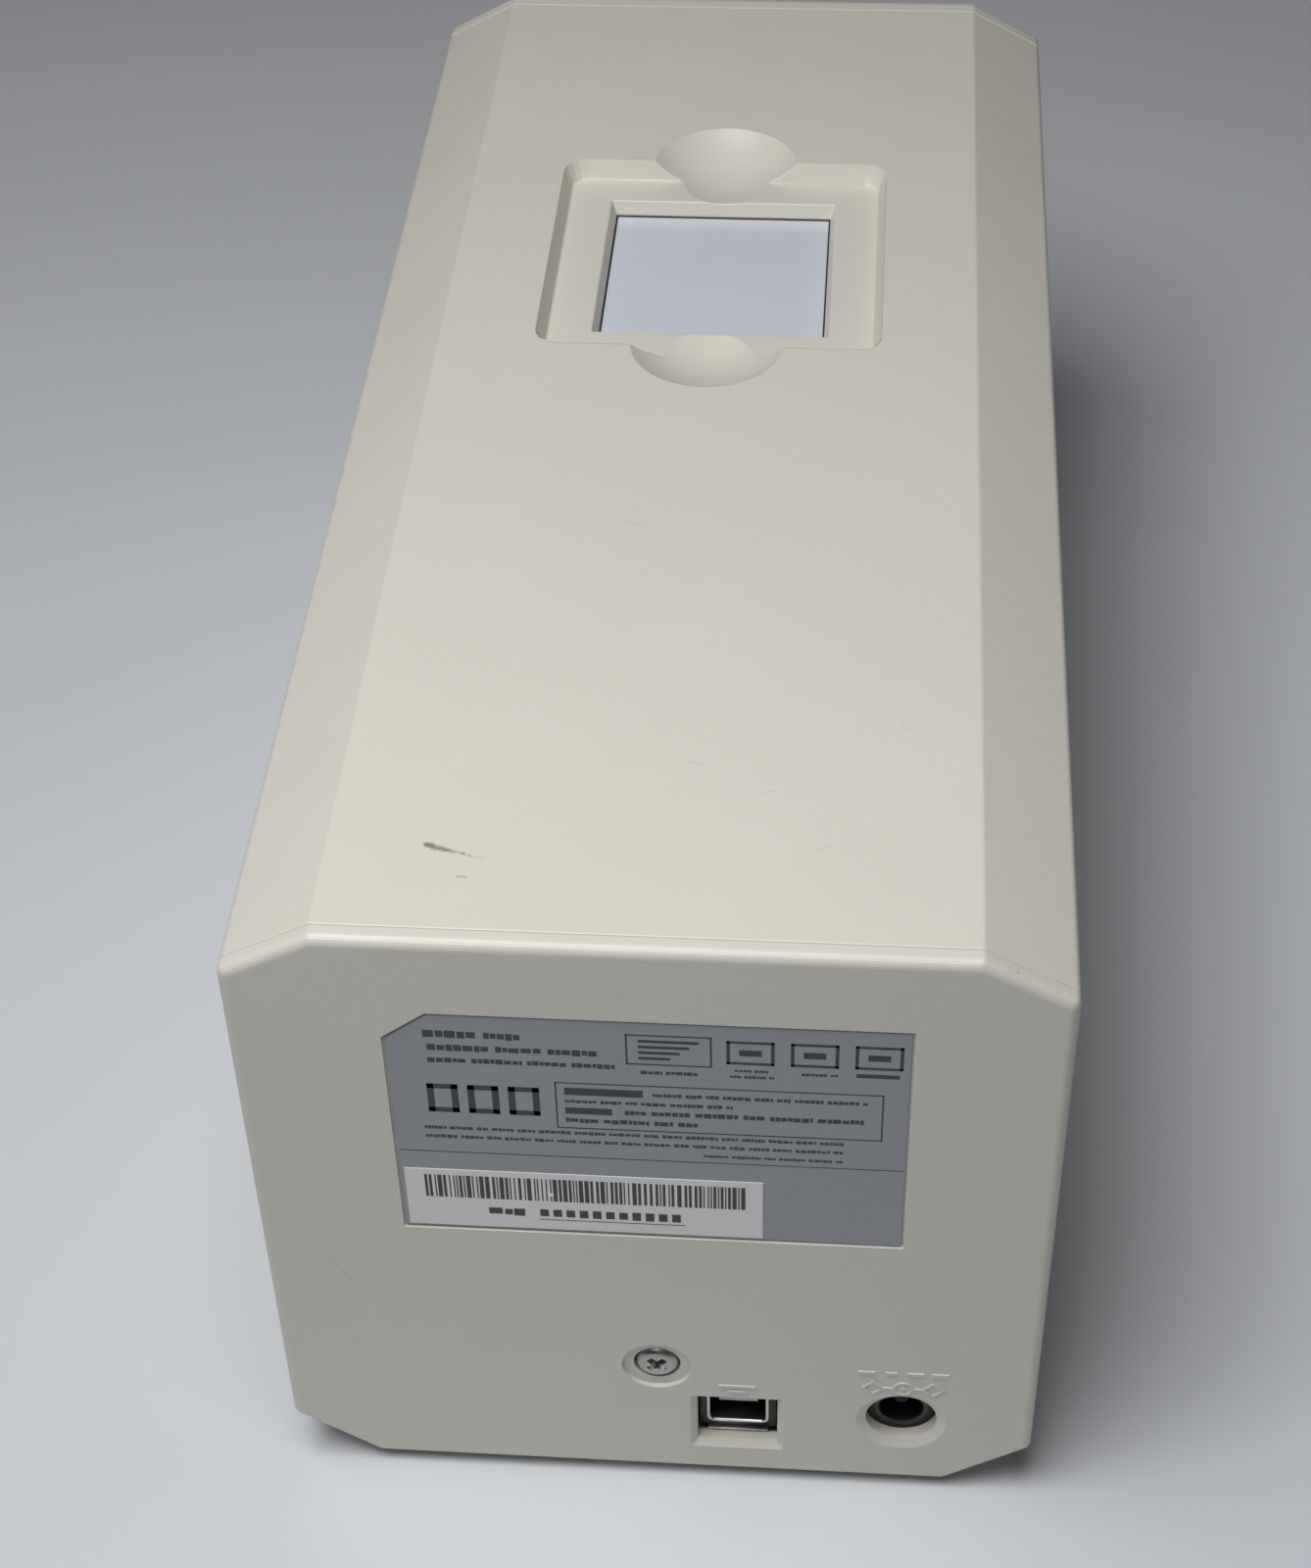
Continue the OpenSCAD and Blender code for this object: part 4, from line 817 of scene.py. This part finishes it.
def control_marks():
    """Pale printed rings round the two buttons, a plain power mark and a plain picture frame."""
    y = node_box("control_plate")[0].y
    made = Piece("control_marks")
    for name, gap in (("scan_button", 0.4), ("power_button", 0.3)):
        a, b = node_box(name)
        z = (a.z + b.z) / 2
        radius = (b.z - a.z) / 2 + gap
        ring = [(radius, 0), (radius, 0.015), (radius + 0.35, 0.015), (radius + 0.35, 0)]
        made.turned(ring, (0, y, z), (0, -1, 0), 72)
    arc = []
    for i in range(31):
        angle = math.radians(35 + 290 * i / 30)
        arc.append((1.5 * math.sin(angle), y, 36.6 + 1.5 * math.cos(angle)))
    made.tube(arc, 0.14, 6)
    made.block((-0.14, y - 0.1, 36.9), (0.14, y + 0.02, 38.6))
    for dx in (-1, 1):
        made.block((dx * 2.2 - 0.13, y - 0.02, 89.2), (dx * 2.2 + 0.13, y + 0.02, 91.6))
        made.block((-2.33, y - 0.02, 90.4 + dx * 1.2 - 0.13), (2.33, y + 0.02, 90.4 + dx * 1.2 + 0.13))
    made.put("grey_plastic", material="ink_pale")


# ---------- light, lens and drive ----------


def lamp_ends():
    """Metal caps and lead wires on both lamp tubes."""
    low, high = node_box("lamp_tubes")
    z = (low.z + high.z) / 2
    caps = Piece("lamp_caps")
    wires = Piece("lamp_wires")
    board = node_box("inverter_board")[0]
    for y, drop in ((low.y + 1.5, 10.5), (high.y - 1.5, 8.5)):
        for side in (-1, 1):
            x = side * (high.x - 2.2)
            cap = [(1.53, 0), (1.58, 0.1), (1.58, 1.7), (1.45, 1.95), (0, 2.0)]
            caps.turned(cap, (x, y, z), (side, 0, 0), 28)
            start = Vector((side * 30.0, y, z))
            end = Vector((side * 24.4, board.y + 4.6, board.z + drop))
            points = []
            for i in range(17):
                t = i / 16
                sag = math.sin(math.pi * t)
                points.append(start.lerp(end, t) + Vector((side * 3.5 * sag, 0, 1.5 * sag)))
            wires.tube(points, 0.45, 8)
    caps.put("steel_screw")
    wires.put("white_plastic")


def inverter_parts():
    """The lamp driver: its board, taped transformer, film capacitor, can and two lead sockets."""
    low, high = node_box("inverter_board")
    face = low.y + 1.2
    board = Piece("inverter_panel")
    board.block(low, (high.x, face, high.z), 0.08)
    board.put("board_green", replaces=("inverter_board",))
    dark = Piece("inverter_cores")
    dark.block((-20, face, low.z + 4), (-6, face + 1.4, low.z + 18), 0.2)
    dark.block((-20, face + 6.2, low.z + 4), (-6, face + 7.6, low.z + 18), 0.2)
    dark.block((-14.6, face + 1, low.z + 4.4), (-11.4, face + 7, low.z + 17.6), 0.2)
    can = [(0, 0), (3.9, 0), (4.0, 0.3), (4.0, 1.0), (3.85, 1.2), (4.0, 1.4), (4.0, 7.4), (3.7, 7.8)]
    dark.turned([*can, (3.2, 7.7), (3.1, 7.6), (0, 7.6)], (20, face, low.z + 11), (0, 1, 0), 40)
    for i in range(4):
        dark.block((-2.6, face, low.z + 3 + i * 4.4), (-0.6, face + 0.8, low.z + 4.2 + i * 4.4), 0.08)
    dark.put("black_plastic")
    coil = Piece("inverter_winding")
    coil.block((-19.2, face + 1.3, low.z + 5), (-14.4, face + 6.3, low.z + 17), 0.7)
    coil.block((-11.6, face + 1.3, low.z + 5), (-6.8, face + 6.3, low.z + 17), 0.7)
    coil.put("natural_plastic")
    film = Piece("inverter_capacitor")
    film.block((2, face + 0.3, low.z + 6), (12, face + 4.8, low.z + 15), 0.8)
    film.put("button_blue")
    sockets = Piece("inverter_sockets")
    for side in (-1, 1):
        a, b = sorted((side * 22.4, side * 26.4))
        sockets.block((a, face, low.z + 6.4), (b, face + 4.2, low.z + 12.4), 0.25)
    sockets.put("white_plastic")


def lenses():
    """Two ground elements with curved faces in place of the plain discs."""
    low, high = node_box("lens_glass")
    z = (low.z + high.z) / 2
    radius = (high.z - low.z) / 2
    made = Piece("lens_elements")
    for y in (low.y, high.y - 2.4):
        profile = [(0, 0)]
        profile += [(radius * i / 8, 0.55 * (i / 8) ** 2) for i in range(1, 9)]
        profile += [(radius * i / 8, 2.4 - 0.55 * (i / 8) ** 2) for i in range(8, 0, -1)]
        profile.append((0, 2.4))
        made.turned(profile, (0, y, z), (0, 1, 0), 48)
    made.put("lens_glass", body="optics_sled", replaces=("lens_glass",))
    low, high = node_box("lens_barrel")
    rings = Piece("lens_grip_rings")
    for i in range(5):
        y = low.y + 5.2 + i * 0.75
        rings.turned([(8.02, 0), (8.3, 0.12), (8.3, 0.35), (8.02, 0.47)], (0, y, z), (0, 1, 0), 48)
    rings.put("black_plastic", body="optics_sled")


def lead_screw():
    """A two-start screw of 6 mm lead, as the sled's travel per turn says."""
    low, high = node_box("lead_screw")
    x, z = (low.x + high.x) / 2, (low.z + high.z) / 2
    radius = (high.z - low.z) / 2
    start, end = low.y + 4.2, -low.y - 4.2
    made = Piece("lead_screw_thread")
    core = [(0, 0), (1.7, 0), (2.0, 0.3), (2.0, start - low.y), (radius * 0.82, start - low.y)]
    core += [(radius * 0.82, end - low.y), (2.0, end - low.y), (2.0, high.y - low.y - 0.3)]
    core += [(1.7, high.y - low.y), (0, high.y - low.y)]
    made.turned(core, (x, low.y, z), (0, 1, 0), 32)
    lead = 6.0
    steps = int((end - start - 2.0) / lead * 24)
    for phase in (0.0, math.pi):
        rows = []
        for i in range(steps):
            angle = 2 * math.pi * i / 24 + phase
            y = start + 1.0 + lead * i / 24
            grow = min(1.0, i / 10, (steps - 1 - i) / 10)
            row = []
            for r, dy in ((0.78, -0.8), (0.8 + 0.19 * grow, -0.42), (0.8 + 0.19 * grow, 0.42), (0.78, 0.8)):
                row.append(made.work.verts.new((
                    x + radius * r * math.sin(angle), y + dy, z + radius * r * math.cos(angle)
                )))
            rows.append(row)
        for a, b in zip(rows, rows[1:]):
            made.join(a, b, True)
        made.work.faces.new(rows[0])
        made.work.faces.new(rows[-1])
    made.put("steel_ground", body="lead_screw", replaces=("lead_screw",))


def chip(piece, pins, low, high, pin_sides="Y"):
    """A moulded package with a pin-one dimple, and gull-wing legs down two or four sides."""
    piece.block((low[0], low[1], low[2] + 0.12), high, 0.15)
    dimple = [(0, 0.0), (0.35, 0.0), (0.42, 0.015), (0.5, 0.0)]
    piece.turned(dimple, (low[0] + 1.1, low[1] + 1.1, high[2]), (0, 0, 1), 16)
    pitch = 0.8
    half = 0.5 * (high[2] - low[2])
    for axis in (0, 1):
        if axis == 0 and pin_sides == "Y":
            continue
        other = 1 - axis
        count = int((high[other] - low[other] - 1.0) / pitch)
        for i in range(count):
            at = low[other] + 0.5 + (i + 0.5) * (high[other] - low[other] - 1.0) / count
            for side, edge in ((-1, low[axis]), (1, high[axis])):
                a = [0, 0, low[2] + half - 0.08]
                b = [0, 0, low[2] + half + 0.08]
                a[other], b[other] = at - 0.17, at + 0.17
                a[axis], b[axis] = sorted((edge, edge + side * 0.45))
                pins.block(a, b)
                a[axis], b[axis] = sorted((edge + side * 0.35, edge + side * 0.5))
                a[2], b[2] = low[2] + 0.02, low[2] + half + 0.08
                pins.block(a, b)
                a[axis], b[axis] = sorted((edge + side * 0.4, edge + side * 0.95))
                b[2] = low[2] + 0.16
                pins.block(a, b)


def board_parts():
    """The main board's packages, ribbon socket, coil, capacitors and small resistors, with tinned legs."""
    z = node_box("main_board")[1].z
    black = Piece("board_chips")
    tinned = Piece("board_pins")
    chip(black, tinned, (-6, 44, z), (16, 66, z + 2), "XY")
    chip(black, tinned, (-26, 48, z), (-14, 60, z + 1.6), "Y")
    black.block((-9, 71.5, z), (9, 72.6, z + 2.9), 0.12)
    black.block((-9, 73.4, z), (9, 75.5, z + 3.0), 0.12)
    black.block((20, 76, z), (28, 90, z + 5.2), 0.3)
    for i in range(16):
        tinned.block((-7.6 + i * 1.0, 75.4, z), (-7.3 + i * 1.0, 76.6, z + 0.2))
    for i in range(6):
        x = -28 + i * 7
        black.block((x + 0.4, 30.05, z + 0.04), (x + 2.6, 31.95, z + 0.9), 0.08)
        tinned.block((x, 30, z), (x + 0.42, 32, z + 0.92), 0.06)
        tinned.block((x + 2.58, 30, z), (x + 3, 32, z + 0.92), 0.06)
    black.put("black_plastic", replaces=("board_parts",))
    cans = Piece("board_capacitors")
    can = [(0, 0.2), (3.3, 0.2), (3.6, 0.5), (3.6, 1.5), (3.42, 1.8), (3.42, 2.0), (3.6, 2.3), (3.6, 9.5)]
    can += [(3.3, 9.8), (2.9, 9.75), (2.8, 9.65), (0, 9.65)]
    for x in (8, 17):
        cans.turned(can, (x, 92, z), (0, 0, 1), 40)
        for turn in (0, 1):
            half = (2.4, 0.12) if turn else (0.12, 2.4)
            tinned.block((x - half[0], 92 - half[1], z + 9.6), (x + half[0], 92 + half[1], z + 9.7))
    cans.put("button_blue")
    tinned.put("connector_metal")


def motor_detail():
    """The stepper's end cap, seam and its four leads to the main board."""
    low, high = node_box("scan_motor")
    x = (low.x + high.x) / 2
    z = low.z + 10
    cap = Piece("motor_end_cap")
    dish = [(0, 0.35), (1.6, 0.35), (1.9, 0.0), (2.9, 0.0), (3.2, 0.3), (6.2, 0.3), (6.6, 0.02)]
    cap.turned(dish, (x, low.y - 0.36, z), (0, 1, 0), 48)
    for y in (low.y + 7.9, low.y + 9.1):
        cap.turned([(10.0, 0), (10.14, 0.12), (10.14, 0.3), (10.0, 0.42)], (x, y, z), (0, 1, 0), 64)
    cap.put("connector_metal")
    for i, finish in enumerate(("wire_black", "wire_red", "copper", "white_plastic")):
        lead = Piece("motor_lead_%d" % i)
        start = Vector((x - 3.0 + i * 2.0, low.y + 2.0, high.z - 2.0))
        end = Vector((24.0 - i * 1.6, 74.6 - i * 0.4, 12.0))
        knots = [start, start + Vector((2, -7, 1)), Vector((x + 14 + i, low.y - 8, 57))]
        knots += [Vector((16 + i, 78, 40)), Vector((26 - i, 73, 22)), end]
        points = []
        for k in range(len(knots) - 1):
            a, b = knots[max(k - 1, 0)], knots[min(k + 2, len(knots) - 1)]
            for j in range(8):
                t = j / 8
                p, q = knots[k], knots[k + 1]
                square = 2 * a - 5 * p + 4 * q - b
                cube = 3 * p - a - 3 * q + b
                points.append(0.5 * (2 * p + (q - a) * t + square * t * t + cube * t ** 3))
        points.append(end)
        lead.tube(points, 0.4, 8)
        lead.put("black_plastic", material=finish)


def sensor_ribbon():
    """The flat cable whose loop rolls as the sled moves."""
    low, high = node_box("ccd_ribbon")
    route = [(low.y, high.z - 0.13)]
    for i in range(1, 12):
        route.append((low.y + (91 - low.y) * i / 12, high.z - 0.13))
    half_turn = [math.pi * i / 24 for i in range(25)]
    route += [(91 + 5 * math.sin(t), 37 + 5 * math.cos(t)) for t in half_turn]
    route += [(91 - 15 * i / 5, 32) for i in range(1, 5)]
    quarter_turn = [math.pi / 2 * i / 10 for i in range(11)]
    route += [(76 - 3 * math.sin(t), 29 + 3 * math.cos(t)) for t in quarter_turn]
    route += [(73, 29 - (29 - low.z) * i / 8) for i in range(1, 9)]
    made = Piece("sensor_ribbon")
    rows = []
    for i, (y, z) in enumerate(route):
        back = route[max(i - 1, 0)]
        ahead = route[min(i + 1, len(route) - 1)]
        along = Vector((ahead[0] - back[0], ahead[1] - back[1])).normalized()
        off = Vector((-along.y, along.x)) * 0.11
        section = ((-8, -1), (8, -1), (8, 1), (-8, 1))
        rows.append([made.work.verts.new((x, y + k * off.x, z + k * off.y)) for x, k in section])
    for a, b in zip(rows, rows[1:]):
        made.join(a, b, True)
    made.work.faces.new(rows[0])
    made.work.faces.new(rows[-1])
    item = bpy.data.objects.new("sensor_ribbon", made.mesh(60))
    scene.collection.objects.link(item)
    item.data.materials.append(mats["ribbon_white"])
    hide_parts("ccd_ribbon")
    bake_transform(item)


def inner_screw_heads():
    """Cross screws of the tray, the boards and the viewer's retainer."""
    tray = node_box("chassis")[0].z + 2
    chassis = [((x, y, tray), (0, 0, 1)) for x in (-30, 30) for y in (-95, 95)]
    put_screws("tray_screws", "inner_screws", chassis, (2.8, 1.8, 1.45, 11))
    board = node_box("main_board")[1].z
    places = [((x, y, board), (0, 0, 1)) for x, y in ((-20, 26), (20, 26), (20, 108), (-23, 108))]
    put_screws("board_screws", None, places, (2.3, 1.4, 1.05, 5))
    panel = node_box("control_board")[1].y
    places = [((x, panel, z), (0, 1, 0)) for x in (-15, 15) for z in (36, 88)]
    put_screws("control_screws", None, places, (2, 1.2, 0.95, 6.5))
    frame_low, frame_high = node_box("viewer_retainer")
    middle = (frame_low.y + frame_high.y) / 2
    places = [((x, middle + y, frame_low.z), (0, 0, -1)) for x in (-25.5, 25.5) for y in (-25.5, 25.5)]
    put_screws("retainer_screws", None, places, (2, 1.2, 0.95, 5))


screws()
label_print()
sticker_print()
usb_socket()
dc_socket()
window_shadow_line()
flap_springs()
slot_trim()
control_marks()
lamp_ends()
inverter_parts()
lenses()
lead_screw()
board_parts()
motor_detail()
sensor_ribbon()
inner_screw_heads()


# ---------- camera, floor and light ----------


def photo_camera():
    """The photograph's own camera, worked out from the case's corners: behind, above and a little left."""
    yaw = math.radians(-5.315)
    pitch = math.radians(42.971)
    roll = math.radians(1.631)
    forward = Vector((-math.sin(yaw) * math.cos(pitch), -math.cos(yaw) * math.cos(pitch), -math.sin(pitch)))
    level = Vector((-math.cos(yaw), math.sin(yaw), 0.0))
    down = forward.cross(level)
    right = level * math.cos(roll) + down * math.sin(roll)
    up = level * math.sin(roll) - down * math.cos(roll)
    data = bpy.data.cameras.new("photo_camera")
    data.lens = 66.9
    data.sensor_width = 36.0
    data.clip_start = 0.01
    data.clip_end = 20.0
    camera = bpy.data.objects.new("photo_camera", data)
    scene.collection.objects.link(camera)
    axes = Matrix((right, up, -forward)).transposed().to_4x4()
    camera.matrix_world = Matrix.Translation((-0.02458, 0.36016, 0.36336)) @ axes
    scene.camera = camera


def floor():
    """A pale sweep: flat under the scanner, turning up far behind it."""
    mesh = bpy.data.meshes.new("floor")
    item = bpy.data.objects.new("floor", mesh)
    scene.collection.objects.link(item)
    work = bmesh.new()
    rows = [(3.0, 0.0), (-0.9, 0.0)]
    for i in range(1, 17):
        angle = math.pi / 2 * i / 16
        rows.append((-0.9 - 0.5 * math.sin(angle), 0.5 - 0.5 * math.cos(angle)))
    rows.append((-1.4, 3.0))
    strips = [[work.verts.new((x, y, z)) for x in (-3.0, 3.0)] for y, z in rows]
    for a, b in zip(strips, strips[1:]):
        work.faces.new((a[0], a[1], b[1], b[0]))
    bmesh.ops.recalc_face_normals(work, faces=work.faces)
    work.to_mesh(mesh)
    work.free()
    for face in mesh.polygons:
        face.use_smooth = True
    s = Shader("floor", (0.78, 0.81, 0.86), 0.42)
    slow = s.noise(2.2, 3.0, 0.5)
    s.tone(slow, (0.765, 0.79, 0.835), (0.80, 0.825, 0.87))
    s.gloss(s.noise(14.0, 3.0, 0.5), 0.3, 0.7, 0.38, 0.48)
    mesh.materials.append(s.material)


def area_light(name, place, target, size, power, colour=(1.0, 1.0, 1.0)):
    data = bpy.data.lights.new(name, "AREA")
    data.shape = "RECTANGLE"
    data.size, data.size_y = size
    data.energy = power
    data.color = colour
    item = bpy.data.objects.new(name, data)
    scene.collection.objects.link(item)
    item.location = place
    item.rotation_euler = (Vector(target) - Vector(place)).to_track_quat("-Z", "Y").to_euler()


def lights():
    area_light("key_light", (0.10, 0.225, 0.58), (0.0, 0.03, 0.05), (0.34, 0.30), 2.72)
    area_light("fill_light", (-0.4, -0.8, 0.35), (0.0, 0.0, 0.05), (0.8, 0.5), 0.06)
    world = bpy.data.worlds.new("studio")
    world.use_nodes = True
    world.node_tree.nodes["Background"].inputs["Color"].default_value = (0.9, 0.95, 1.0, 1.0)
    world.node_tree.nodes["Background"].inputs["Strength"].default_value = 0.012
    scene.world = world
    scene.view_settings.view_transform = "Standard"


photo_camera()
floor()
lights()
